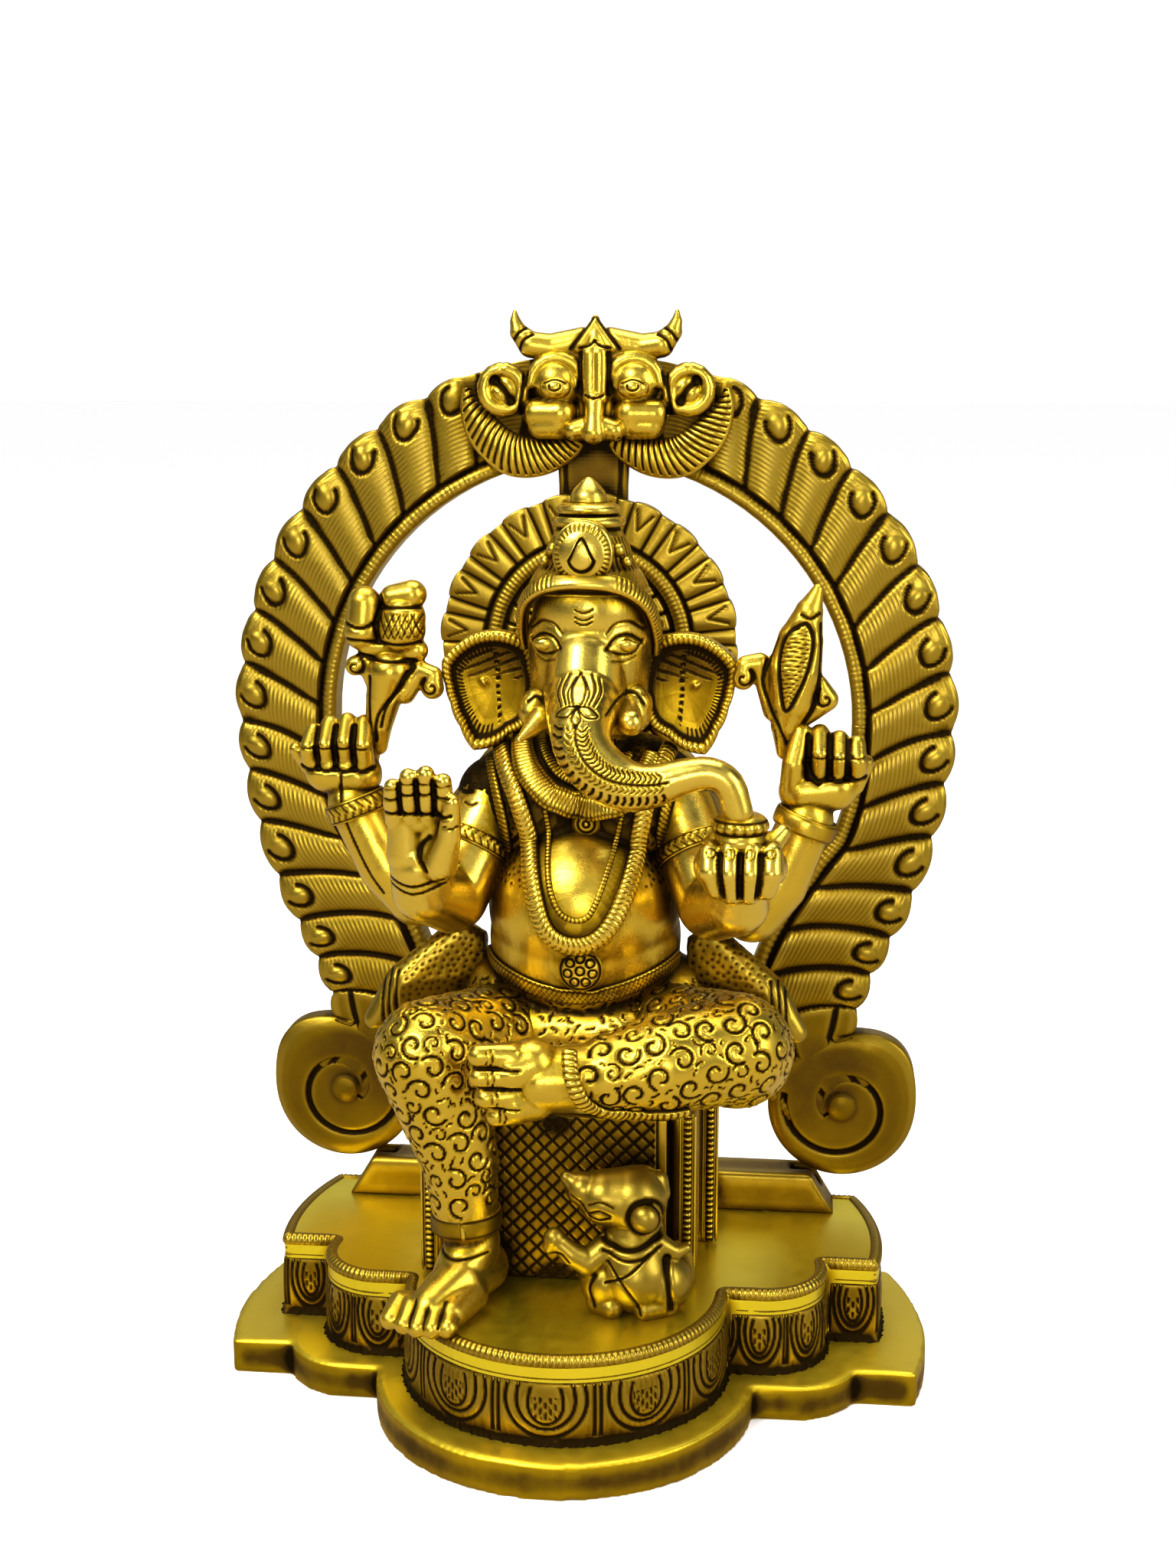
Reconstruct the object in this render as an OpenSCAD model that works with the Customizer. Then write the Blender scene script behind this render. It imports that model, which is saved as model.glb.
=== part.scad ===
// Seated elephant-headed idol in cast brass: a lobed two-tier base, a throne, a scaled arch
// with a lion mask, a halo, and a four-armed figure put together from separate castings.
// Millimetres. +X is to the right of someone facing the figure, +Y points away from them
// and +Z is up. The origin is the middle of the base, on the surface it stands on.

/* [Base] */
// Width of the lower plate at its widest
base_w = 202; // [180:1:250]
// Depth of the lower plate, front lobe to rear edge
base_d = 128; // [124:1:155]
// Height of the lower plate
plate_h = 10; // [6:0.5:16]
// Height of the upper tier
tier_h = 24; // [18:0.5:36]
// Step from the lower plate in to the upper tier, at the sides
ledge = 13; // [8:0.5:18]
// Radius of the front lobe of the lower plate
plate_lobe_r = 52.5; // [46:0.5:60]
// Radius of the front lobe of the upper tier
tier_lobe_r = 44.5; // [38:0.5:50]
// Thickness of the cast walls and of the deck
wall = 4; // [2.5:0.5:6]

/* [Throne] */
// Width of the throne's front
throne_w = 77; // [64:1:95]
// Height of the throne
throne_h = 50; // [40:1:64]
// Depth of the throne, front to rear
throne_d = 48; // [42:1:56]
// How far the rear of the throne stands out past its front, each side
throne_step = 4; // [2:0.5:8]
// Spacing of the crossed grooves on the front panel
lattice_pitch = 8; // [6:0.5:12]

/* [Arch] */
// Outer radius of the arch
arch_r = 106; // [88:1:130]
// Width of the arch band
band_w = 29.5; // [24:0.5:36]
// Thickness of the arch casting
arch_t = 8; // [7:0.5:12]
// Height of the arch's centre above the deck
arch_rise = 149; // [124:1:180]
// Number of scales around the upper half of the arch
scale_count = 19; // [11:2:27]
// Radius of the scroll at each foot of the arch
scroll_r = 22; // [18:0.5:27]
// Height of the foot bar under the arch
foot_h = 12; // [8:1:18]

/* [Halo] */
// Radius of the halo disc
halo_r = 43; // [34:0.5:50]
// Thickness of the halo disc
halo_t = 4; // [2.5:0.5:5]
// Gap between the halo's top and the inner edge of the arch
halo_gap = 9.5; // [5:0.5:16]

/* [Figure] */
// Sideways place of the figure
figure_x = 2.5; // [-3:0.5:5]
// Radius of the belly
belly_r = 27; // [22:0.5:33]
// Radius of the head
head_r = 19; // [16:0.5:22]
// Radius of the trunk at its root
trunk_r = 7.6; // [6:0.1:9]
// Radius of the crown at its rim
crown_r = 18.5; // [15:0.5:22]
// Height of the crown without its knob
crown_h = 27; // [20:1:34]

/* [Fixings] */
// Diameter of the studs that hold the castings together
stud_d = 5; // [4:0.5:6]
// Radial clearance around a stud
stud_gap = 0.1; // [0.05:0.05:0.3]
// Clearance between castings that lie close without touching
clear = 0.3; // [0.2:0.1:0.6]

/* [Hidden] */

$fn = 64;
form_fn = 14;
far = 400;

gold = "goldenrod";
pale = "khaki";
dark = "darkgoldenrod";

// Base
rear_y = base_d / 2;
deck_z = plate_h + tier_h;
deck_under = deck_z - wall;
plate_half = base_w / 2;
tier_half = plate_half - ledge;
toe = 10.5;

// Arch, standing on the rear of the deck
arch_back = rear_y - 2;
arch_front = arch_back - arch_t;
arch_mid = arch_back - arch_t / 2;
arch_z = deck_z + arch_rise;
inner_r = arch_r - band_w;
ring_mid = arch_r - band_w / 2;
scale_r = 9;
scale_rise = 3;
foot_half = tier_half - 11;
foot_d = arch_t + 6;
foot_rear = arch_back + 1;
foot_front = foot_rear - foot_d;
foot_top = deck_z + foot_h;
scroll_x = foot_half - 1;
scroll_z = foot_top + scroll_r - 1;
scroll_boss_r = 7;
tenon_w = 16;
tenon_h = foot_h / 2;
tenon_t = arch_t - 3;
waist_x = scroll_x - 13;
leg_drop = arch_z - scroll_z;
// Leg of the arch: [share of the drop, share of the way in to the waist, half width]
leg_run = [
  [0, 0, 14.5], [0.16, 0.05, 14], [0.32, 0.21, 14.2], [0.44, 0.46, 16],
  [0.58, 0.78, 17], [0.73, 1, 17], [0.86, 1, 16], [1, 0.6, 14]
];

// Halo, hung in front of the arch's opening
halo_front = arch_front - halo_t - 2;
halo_z = arch_z + inner_r - halo_gap - halo_r;
stem_w = 20;

// Lion mask at the top of the arch
mask_x = 2;
mask_t = 9;
mask_z = arch_z + arch_r + 11;
rivet_r = 2;
rivet_x = 17;
rivet_z = mask_z - 26;

// Throne, just in front of the arch foot
throne_x = -3;
throne_rear = foot_front - 3;
throne_front = throne_rear - throne_d;
neck_y = throne_rear - 28;
neck_d = 6;
neck_in = 4;
pillar_r = 3.5;
panel_w = throne_w - 4 * pillar_r - 4;
panel_h = throne_h - 14;
panel_t = 3;
panel_sunk = 1.5;

// Studs, washers and nuts under the deck
stud_r = stud_d / 2;
hole_r = stud_r + stud_gap;
washer_r = stud_d + 0.5;
washer_t = 1;
nut_r = 0.92 * stud_d;
nut_t = 0.8 * stud_d;
stud_low = deck_under - washer_t - nut_t - 2;
seat_y = throne_rear - 22;
seat_z = deck_z + throne_h;
mouse_at = [22, rear_y - 82];
arch_stud_x = scroll_x - 22;
arch_stud_y = foot_front + 4;
stud_places = [
  [figure_x, seat_y], mouse_at, [-arch_stud_x, arch_stud_y], [arch_stud_x, arch_stud_y]
];

// Figure: its places are measured from the middle of the seat
hips_r = 21;
chest_r = 20;
belly_at = [0, -8, 54];
chest_at = [12, -3, 82];
head_at = [1, -12, 124];
crown_seat_r = crown_r - 6;
crown_z = head_at[2] + sqrt(max(head_r * head_r - crown_seat_r * crown_seat_r, 4));
shin_y = throne_front - seat_y - 18;
sole_z = -throne_h;
trunk_y = belly_at[1] - belly_r - trunk_r - 3.4;
ear_x = head_r + 8;
fist_r = 11;

// One segment of a rounded form: two balls, each [x, y, z, radius], and the skin over them
module segment(a, b) {
  hull() {
    translate([a[0], a[1], a[2]]) sphere(a[3], $fn = form_fn);
    translate([b[0], b[1], b[2]]) sphere(b[3], $fn = form_fn);
  }
}

// Segments joined end to end along a list of balls
module form(run) {
  for (i = [0 : len(run) - 2]) segment(run[i], run[i + 1]);
}

module seated() {
  translate([figure_x, seat_y, seat_z]) children();
}

module both_sides() {
  children();
  mirror([1, 0, 0]) children();
}

// A flat outline in X and Z, given thickness t from y backwards
module upright(y, t) {
  translate([0, y + t, 0]) rotate([90, 0, 0]) linear_extrude(t) children();
}

// Plan of one tier: front lobe, a smaller lobe each side, and a bowed block behind them
module lobed_plan(half, front_y, lobe_r, wing_x, wing_y, wing_r, block_y, bow_y, inset) {
  translate([0, front_y + lobe_r]) circle(lobe_r - inset);
  for (side = [-1, 1]) translate([side * wing_x, wing_y + wing_r]) circle(wing_r - inset);
  fill_half = wing_x - 3;
  translate([-fill_half, wing_y + inset]) square([2 * fill_half, rear_y - wing_y - 2 * inset]);
  intersection() {
    translate([0, bow_y]) circle(half - inset, $fn = 96);
    translate([-half, block_y + inset]) square([2 * half, rear_y - block_y - 2 * inset]);
  }
}

module plate_plan(inset) {
  lobed_plan(plate_half, -base_d / 2, plate_lobe_r, plate_half - 39, rear_y - 80, 20,
             rear_y - 68, rear_y - 42, inset);
}

module tier_plan(inset) {
  lobed_plan(tier_half, toe - base_d / 2, tier_lobe_r, tier_half - 34, rear_y - 72, 18,
             rear_y - 49, rear_y - 34, inset);
}

// Lower plate: a flat lobed ring, open in the middle
module base_plate() {
  color(gold) linear_extrude(plate_h) difference() {
    plate_plan(0);
    tier_plan(wall);
  }
}

// Upper tier: a hollow casting, open below, with the deck on top
module plinth() {
  color(gold) difference() {
    translate([0, 0, plate_h]) linear_extrude(tier_h) tier_plan(0);
    translate([0, 0, plate_h - 1]) linear_extrude(tier_h - wall + 1) tier_plan(wall);
    for (p = stud_places) translate([p[0], p[1], deck_under - 1]) cylinder(wall + 2, r = hole_r);
  }
}

// Plan of the throne: front part, narrower neck, wider rear part
module throne_plan(inset) {
  front_half = throne_w / 2;
  rear_half = front_half + throne_step;
  neck_half = front_half - neck_in;
  translate([throne_x - front_half + inset, throne_front + inset])
    square([throne_w - 2 * inset, neck_y - throne_front - 2 * inset]);
  translate([throne_x - neck_half + inset, throne_front + inset])
    square([2 * (neck_half - inset), throne_d - 2 * inset]);
  translate([throne_x - rear_half + inset, neck_y + neck_d + inset])
    square([2 * (rear_half - inset), throne_rear - neck_y - neck_d - 2 * inset]);
}

// Hollow throne with round corner pillars and a sunk front
module throne() {
  front_half = throne_w / 2;
  color(gold) difference() {
    translate([0, 0, deck_z]) linear_extrude(throne_h) {
      throne_plan(0);
      for (side = [-1, 1])
        translate([throne_x + side * (front_half - pillar_r), throne_front + 1])
          circle(pillar_r);
    }
    translate([0, 0, deck_z - 1]) linear_extrude(throne_h - wall + 1) throne_plan(wall);
    panel_block(panel_w + 2 * stud_gap, panel_h + 2 * stud_gap, throne_front - 1, panel_t + 1);
    translate([figure_x, seat_y, seat_z - wall - 1]) cylinder(wall + 2, r = hole_r);
  }
}

module panel_block(w, h, y, t) {
  translate([throne_x - w / 2, y, deck_z + (throne_h - h) / 2]) cube([w, t, h]);
}

// Front panel with crossed grooves, set into the throne's front
module throne_panel() {
  reach = panel_w + panel_h;
  color(dark) difference() {
    panel_block(panel_w, panel_h, throne_front + panel_sunk - 1, panel_t + 1 - panel_sunk);
    for (s = [-reach / 2 : lattice_pitch : reach / 2], lean = [-45, 45])
      translate([throne_x + s, throne_front + panel_sunk - 1, deck_z + throne_h / 2])
        rotate([0, lean, 0]) cube([1, 1.2, reach], center = true);
  }
}

// Bar that carries the arch, on the rear of the deck
module arch_foot() {
  color(dark) difference() {
    translate([-foot_half, foot_front, deck_z]) cube([2 * foot_half, foot_d, foot_h]);
    for (side = [-1, 1])
      translate([side * arch_stud_x, arch_stud_y, deck_z - 1]) cylinder(foot_h - 2, r = hole_r);
    tenons(stud_gap);
  }
}

// Tenons under the two scrolls, which stand in slots in the foot bar
module tenons(gap) {
  both_sides() translate([
    scroll_x - 4 - tenon_w / 2 - gap, arch_mid - tenon_t / 2 - gap, foot_top - tenon_h - gap
  ]) cube([tenon_w + 2 * gap, tenon_t + 2 * gap, tenon_h + 1 + gap]);
}

function leg_mid(p) = ring_mid + p[1] * (waist_x - ring_mid);
function leg_edge(side) =
  [for (p = leg_run) [leg_mid(p) + side * p[2], arch_z - p[0] * leg_drop]];
function backwards(list) = [for (i = [len(list) - 1 : -1 : 0]) list[i]];

// Outline of the arch: ring, two legs, a scroll at each foot and a row of scales
module arch_outline() {
  difference() {
    translate([0, arch_z]) circle(arch_r - scale_rise, $fn = 96);
    translate([0, arch_z]) circle(inner_r, $fn = 96);
    translate([-far, arch_z - far]) square([2 * far, far]);
  }
  both_sides() {
    polygon(concat(leg_edge(1), backwards(leg_edge(-1))));
    translate([scroll_x, scroll_z]) circle(scroll_r);
    for (p = [for (i = [1 : 5]) leg_edge(1)[i]])
      translate([p[0] - scale_r + scale_rise, p[1]]) circle(scale_r);
  }
  for (i = [0 : scale_count - 1]) {
    turn = 180 * (i + 0.5) / scale_count;
    translate([(arch_r - scale_r) * cos(turn), arch_z + (arch_r - scale_r) * sin(turn)])
      circle(scale_r, $fn = 24);
  }
}

module arch() {
  color(gold) difference() {
    union() {
      upright(arch_front, arch_t) intersection() {
        arch_outline();
        translate([-far, foot_top]) square([2 * far, far]);
      }
      tenons(0);
      both_sides() translate([scroll_x, arch_front, scroll_z]) rotate([90, 0, 0])
        cylinder(3, r1 = scroll_boss_r, r2 = scroll_boss_r - 2);
    }
    mask_rivet_holes(hole_gap = stud_gap);
  }
}

module mask_rivet_holes(hole_gap) {
  for (side = [-1, 1])
    translate([mask_x + side * rivet_x, arch_back + 1, rivet_z]) rotate([90, 0, 0])
      cylinder(arch_t + mask_t * 0.6 + 1, r = rivet_r + hole_gap);
}

// Lion mask: horned crown, brow, cheeks and a fan of whiskers each side
module lion_mask() {
  color(pale) difference() {
    union() {
      upright(arch_front - mask_t, mask_t) translate([mask_x, mask_z]) {
        translate([0, -18]) circle(15);
        both_sides() {
          translate([16, -26]) circle(13);
          translate([28, -28]) circle(10);
        }
        polygon([[-22.5, 0], [-14, -11], [-5, -5], [0, -1], [5, -5], [14, -11], [22.5, 0],
                 [20, -20], [-20, -20]]);
      }
      translate([mask_x, arch_front - mask_t, mask_z]) {
        both_sides() {
          translate([10, 0, -20]) sphere(4.5);
          translate([12, 0, -30]) sphere(5);
        }
        translate([0, 0, -26]) sphere(6);
      }
    }
    mask_rivet_holes(hole_gap = stud_gap);
  }
}

module mask_rivets() {
  color(dark) for (side = [-1, 1])
    translate([mask_x + side * rivet_x, arch_back, rivet_z]) rotate([90, 0, 0]) {
      cylinder(arch_t + mask_t * 0.6, r = rivet_r);
      translate([0, 0, -1.5]) cylinder(1.5, r = rivet_r + 1.5);
    }
}

// Halo disc with a raised rim and the stem that joins it to the arch
module halo() {
  stem_low = halo_z + halo_r - 5;
  stem_high = arch_z + inner_r + 2;
  color(gold) {
    translate([0, halo_front + halo_t, halo_z]) rotate([90, 0, 0]) {
      cylinder(halo_t, r = halo_r);
      difference() {
        cylinder(halo_t + 1.5, r = halo_r - 1);
        translate([0, 0, halo_t]) cylinder(3, r = halo_r - 6);
      }
    }
    intersection() {
      translate([-stem_w / 2, halo_front, stem_low])
        cube([stem_w, arch_back - halo_front, stem_high - stem_low]);
      translate([0, arch_back + 1, arch_z]) rotate([90, 0, 0]) cylinder(far, r = inner_r, $fn = 96);
    }
  }
}

module torso_form() {
  hull() {
    both_sides() translate([11, 0, 19]) sphere(hips_r, $fn = form_fn);
    translate(belly_at) sphere(belly_r, $fn = 20);
  }
  hull() {
    translate(belly_at) sphere(belly_r, $fn = 20);
    both_sides() translate(chest_at) sphere(chest_r, $fn = form_fn);
  }
  segment([0, -5, 92, 13], [head_at[0], -8, 106, 11]);
}

module torso() {
  color(gold) seated() difference() {
    torso_form();
    translate([-far, -far, -far]) cube([2 * far, 2 * far, far]);
    translate([0, 0, -1]) cylinder(15, r = hole_r);
  }
}

// Space taken by the throne and everything under the seat, for the legs to lie on
module under_seat() {
  translate([-far, throne_front - seat_y - clear, sole_z])
    cube([2 * far, far, throne_h]);
}

module leg_right_form() {
  form([
    [-14, -8, 16, 15.5], [-38.5, shin_y, 20, 14.5], [-28, shin_y, sole_z + 18, 8.5],
    [-27.5, shin_y + 3, sole_z + 6, 7.5], [-33, shin_y - 16, sole_z + 5, 6]
  ]);
}

module leg_right() {
  color(gold) seated() difference() {
    leg_right_form();
    torso_form();
    under_seat();
    translate([-far, -far, sole_z - far]) cube([2 * far, 2 * far, far]);
  }
}

module leg_left_form() {
  form([
    [14, -8, 16, 15.5], [50, shin_y + 4, 21, 14], [6, shin_y - 12, 20, 9.5],
    [-17, shin_y - 16, 19, 7]
  ]);
}

module leg_left() {
  color(gold) seated() difference() {
    leg_left_form();
    torso_form();
    leg_right_form();
    under_seat();
  }
}

// Head with its trunk, which curls to the figure's left, over the bowl
module head_form() {
  hull() {
    translate(head_at) sphere(head_r, $fn = 20);
    translate(head_at + [0, -8, -12]) sphere(head_r - 5, $fn = form_fn);
  }
  form([
    [head_at[0], head_at[1] - 10, 114, trunk_r + 1], [2, trunk_y + 4, 112, trunk_r], [3, trunk_y, 102, trunk_r - 0.6],
    [8.5, trunk_y, 93, trunk_r - 1.4], [16.5, trunk_y, 90.5, trunk_r - 2],
    [25, trunk_y, 93, trunk_r - 2.6], [33, trunk_y, 97, trunk_r - 3.2],
    [39, trunk_y, 98, trunk_r - 3.6], [43.5, trunk_y, 94, trunk_r - 4]
  ]);
}

module head() {
  color(gold) seated() difference() {
    head_form();
    torso_form();
    translate([-far, -far, crown_z]) cube([2 * far, 2 * far, far]);
  }
}

module crown_turning() {
  translate([head_at[0], head_at[1], crown_z]) rotate_extrude() polygon([
    [0, 0], [crown_r, 0], [crown_r, 5], [crown_r - 1, 6], [crown_r - 1.5, crown_h - 11],
    [crown_r - 4, crown_h - 7], [crown_r - 8, crown_h - 6], [crown_r - 8, crown_h],
    [0, crown_h]
  ]);
}

module crown() {
  color(gold) seated() crown_turning();
}

module crown_knob() {
  color(pale) seated() translate([head_at[0], head_at[1], crown_z + crown_h]) rotate_extrude()
    polygon([[0, 0], [6, 0], [6, 1.5], [3.5, 2], [4.7, 4], [4, 5.5], [0, 6.5]]);
}

module crown_jewel() {
  color(pale) seated() difference() {
    translate([head_at[0] - 0.5, head_at[1] - crown_r + 7, crown_z + 14]) rotate([90, 0, 0])
      cylinder(9, r1 = 8, r2 = 7);
    crown_turning();
  }
}

// Fan-shaped ear, standing out from the side of the head
module ear(side) {
  color(gold) seated() difference() {
    translate([head_at[0], head_at[1] + 2, head_at[2]]) scale([side, 1, 1]) hull() {
      for (p = [[ear_x + 2, -2, 9.5], [ear_x - 10, 0, 9], [ear_x + 1, -17, 6]])
        translate([p[0], 0, p[1]]) rotate([90, 0, 0]) cylinder(4, r = p[2], $fn = 24);
    }
    head_form();
  }
}
module ear_right() { ear(-1); }
module ear_left() { ear(1); }

// Tusks: a long one on the figure's right, a broken stub on the left
module tusk(side, length) {
  color(pale) seated() difference() {
    translate([head_at[0] + side * 9, head_at[1] - head_r + 3, head_at[2] - 14])
      rotate([90 + 20, 0, side * -24]) cylinder(length, r1 = 3.4, r2 = 2);
    head_form();
  }
}
module tusk_right() { tusk(-1, 20); }
module tusk_left() { tusk(1, 13); }

// Arms. The front right hand is raised, the front left one holds the bowl, and the rear
// hands hold the axe and the lotus bud.
module front_arm_right_form() {
  form([
    [-25, -8, 87, 10], [-36.5, -22, 58, 8.5], [-39.5, -36, 69, 6.5], [-40.5, -40, 82, 7.5],
    [-36.5, -39, 102, 4.5]
  ]);
}
module front_arm_left_form() {
  form([
    [25, -8, 87, 10], [36, -22, 56, 8.5], [42, -40, 66, 6.5], [44.5, -46, 74, 8.5]
  ]);
}
module front_arm_right() {
  color(gold) seated() difference() {
    front_arm_right_form();
    torso_form();
    leg_right_form();
  }
}
module front_arm_left() {
  color(gold) seated() difference() {
    front_arm_left_form();
    torso_form();
    bowl_turning();
    leg_left_form();
  }
}

module rear_arm_right_form() {
  form([[-24, 0, 90, 10], [-48, -14, 56, 8.5], [-65, -12, 79, 6.5], [-68.5, -12, 95, fist_r]]);
}
module rear_arm_left_form() {
  form([[24, 0, 90, 10], [47, -14, 54, 8.5], [62, -12, 80, 6.5], [66.5, -12, 96, fist_r]]);
}
module rear_arm_right() {
  color(gold) seated() difference() {
    rear_arm_right_form();
    torso_form();
    front_arm_right_form();
  }
}
module rear_arm_left() {
  color(gold) seated() difference() {
    rear_arm_left_form();
    torso_form();
    front_arm_left_form();
  }
}

// What the rear hands hold
module axe() {
  color(pale) seated() difference() {
    union() {
      form([[-62, -12, 100, 3], [-56, -12, 116, 4.5]]);
      for (lobe = [[-62, 129, 7.5], [-50, 128, 7.5], [-55, 138, 6], [-56, 118, 7]])
        translate([lobe[0], -9, lobe[1]]) rotate([90, 0, 0]) cylinder(6, r = lobe[2]);
    }
    rear_arm_right_form();
  }
}
module lotus_bud() {
  color(pale) seated() difference() {
    form([[56, -12, 101, 4], [58.5, -12, 118, 8], [60, -12, 126, 7], [63.5, -12, 141, 1.5]]);
    rear_arm_left_form();
  }
}
module bowl_turning() {
  translate([44.5, -46, 76]) rotate_extrude()
    polygon([[0, 0], [4.5, 0], [7, 3], [8, 8], [6.5, 10.5], [0, 10.5]]);
}
module sweet_bowl() {
  color(pale) seated() bowl_turning();
}

// Front of the torso at a place on it, used to lay the ornaments on the body. The body
// between belly and chest is taken as a row of balls from one to the other.
function blend(a, b, share) = a + (b - a) * share;
function ball_front(x, z, c, r) = c[1] - sqrt(max(r * r - x * x - (z - c[2]) * (z - c[2]), 0));
function body_front(x, z) = min([
  for (share = [0 : 0.1 : 1])
    ball_front(max(abs(x) - chest_at[0] * share, 0), z, blend(belly_at, chest_at, share),
               blend(belly_r, chest_r, share))
]);

// Garland: a cord that hangs in a U from the neck to the belly
garland_run = [
  [-14, 92], [-15.5, 83], [-14.5, 73], [-12, 62], [-9, 54], [-3, 50], [4, 51], [10, 57],
  [14, 68], [16, 80], [15, 92]
];
pendant_r = 6;
pendant_z = garland_run[5][1] - 2.2 - pendant_r - clear;
module garland() {
  color(dark) seated() difference() {
    form([for (p = garland_run) [p[0], body_front(p[0], p[1]) - 1, p[1], 2.2]]);
    torso_form();
    head_form();
    front_arm_right_form();
    front_arm_left_form();
  }
}
module pendant() {
  color(pale) seated() difference() {
    translate([1, body_front(1, pendant_z) + 8, pendant_z]) rotate([90, 0, 0])
      cylinder(11, r = pendant_r);
    torso_form();
  }
}
module chest_boss() {
  color(pale) seated() difference() {
    translate([1, body_front(1, 78) - 1, 78]) sphere(4.4);
    torso_form();
  }
}

// Sash ends that flare out past the hips
module sash_form(side) {
  hull() {
    translate([side * 36, -6, 44]) sphere(4, $fn = form_fn);
    translate([side * 52, -10, 30]) sphere(5, $fn = form_fn);
    translate([side * 60, -12, 19]) sphere(3, $fn = form_fn);
    translate([side * 22, -2, 34]) sphere(4, $fn = form_fn);
  }
}
module sash_right() {
  color(gold) seated() difference() {
    sash_form(-1);
    torso_form();
    leg_right_form();
    front_arm_right_form();
    rear_arm_right_form();
  }
}
module sash_left() {
  color(gold) seated() difference() {
    sash_form(1);
    torso_form();
    leg_left_form();
    front_arm_left_form();
    rear_arm_left_form();
  }
}

// Mouse that sits up on the deck and eats a sweet, facing the hanging foot
module mouse() {
  color(gold) translate([mouse_at[0], mouse_at[1], deck_z]) difference() {
    union() {
      form([[3, 0, 10, 12], [-2, -1, 24, 9.5], [-5, -2, 35, 8], [-17, -4, 42, 2.6]]);
      form([[-6, -8, 30, 3], [-16, -7, 28, 3], [-20, -6, 27, 4]]);
      form([[10, 4, 6, 3], [14, 6, 14, 2], [13, 6, 22, 2]]);
      segment([-8, -6, 4, 5], [-15, -7, 4, 3.5]);
      for (y = [-9, 5]) segment([2, y, 40, 4.5], [4, y, 43, 4.5]);
    }
    translate([-far, -far, -far]) cube([2 * far, 2 * far, far]);
    translate([0, 0, -1]) cylinder(10, r = hole_r);
  }
}

// Fixings, reached from under the hollow base
module tie_bolt() {
  color(dark) translate([figure_x, seat_y, stud_low])
    cylinder(seat_z + 13 - stud_low, r = stud_r);
}
module arch_studs() {
  color(dark) for (side = [-1, 1]) translate([side * arch_stud_x, arch_stud_y, stud_low])
    cylinder(foot_top - 4 - stud_low, r = stud_r);
}
module mouse_stud() {
  color(dark) translate([mouse_at[0], mouse_at[1], stud_low])
    cylinder(deck_z + 8 - stud_low, r = stud_r);
}
module washers() {
  color(dark) for (p = stud_places) translate([p[0], p[1], deck_under - washer_t])
    difference() {
      cylinder(washer_t, r = washer_r);
      translate([0, 0, -1]) cylinder(washer_t + 2, r = hole_r);
    }
}
module nuts() {
  color(dark) for (p = stud_places) translate([p[0], p[1], deck_under - washer_t - nut_t])
    difference() {
      cylinder(nut_t, r = nut_r, $fn = 6);
      translate([0, 0, -1]) cylinder(nut_t + 2, r = hole_r);
    }
}

base_plate();
plinth();
throne();
throne_panel();
arch_foot();
arch();
lion_mask();
mask_rivets();
halo();
torso();
leg_right();
leg_left();
head();
crown();
crown_knob();
crown_jewel();
ear_right();
ear_left();
tusk_right();
tusk_left();
front_arm_right();
front_arm_left();
rear_arm_right();
rear_arm_left();
axe();
lotus_bud();
sweet_bowl();
garland();
pendant();
chest_boss();
sash_right();
sash_left();
mouse();
tie_bolt();
arch_studs();
mouse_stud();
washers();
nuts();
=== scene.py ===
# %% [markdown]
# A brass idol is not one lump. The founder casts the base, the throne, the arch, the mask,
# the halo, the body and the limbs apart, chases lines into them with punches, blackens the
# whole with patina and then buffs the high spots bright again. This lesson follows the same
# order: shape a blank, chase its lines, and let one shared finish darken what is sunk.

# %% Load the frame
import math
import bpy
import bmesh
import numpy as np
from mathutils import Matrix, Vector


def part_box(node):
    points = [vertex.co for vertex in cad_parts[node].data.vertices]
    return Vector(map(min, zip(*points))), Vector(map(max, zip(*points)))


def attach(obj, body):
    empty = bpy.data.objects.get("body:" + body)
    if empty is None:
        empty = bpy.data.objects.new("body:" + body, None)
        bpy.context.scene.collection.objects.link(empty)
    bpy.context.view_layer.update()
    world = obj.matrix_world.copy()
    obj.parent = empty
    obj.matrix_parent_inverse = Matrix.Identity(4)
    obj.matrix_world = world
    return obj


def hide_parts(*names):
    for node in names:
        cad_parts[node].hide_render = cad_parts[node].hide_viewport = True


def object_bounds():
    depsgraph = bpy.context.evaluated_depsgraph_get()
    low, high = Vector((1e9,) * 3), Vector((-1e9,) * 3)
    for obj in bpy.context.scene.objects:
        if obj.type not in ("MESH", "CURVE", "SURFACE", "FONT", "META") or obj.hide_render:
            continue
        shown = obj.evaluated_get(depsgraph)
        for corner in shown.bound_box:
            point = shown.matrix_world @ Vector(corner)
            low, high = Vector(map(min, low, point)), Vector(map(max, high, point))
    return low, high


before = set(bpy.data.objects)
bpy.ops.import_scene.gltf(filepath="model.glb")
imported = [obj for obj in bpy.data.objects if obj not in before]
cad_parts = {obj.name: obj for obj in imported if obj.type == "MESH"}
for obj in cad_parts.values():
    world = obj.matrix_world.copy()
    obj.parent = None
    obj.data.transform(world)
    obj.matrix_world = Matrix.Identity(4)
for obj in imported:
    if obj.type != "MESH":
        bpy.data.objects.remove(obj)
cad_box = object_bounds()
MM = 0.001
COARSE = 1.0
print("the frame holds", len(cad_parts), "nodes; box", cad_box)

# %% [markdown]
# The camera comes first, so that every later look is from the right place. It stands a
# little to the figure's left hand, above the middle, and looks slightly down.

# %% Camera
CAMERA_TURN = 6.67
CAMERA_REACH = 560
CAMERA_HEIGHT = 284
CAMERA_DOWN = 11.26
CAMERA_PAN = 6.28
FIGURE_LINE = 12


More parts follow.
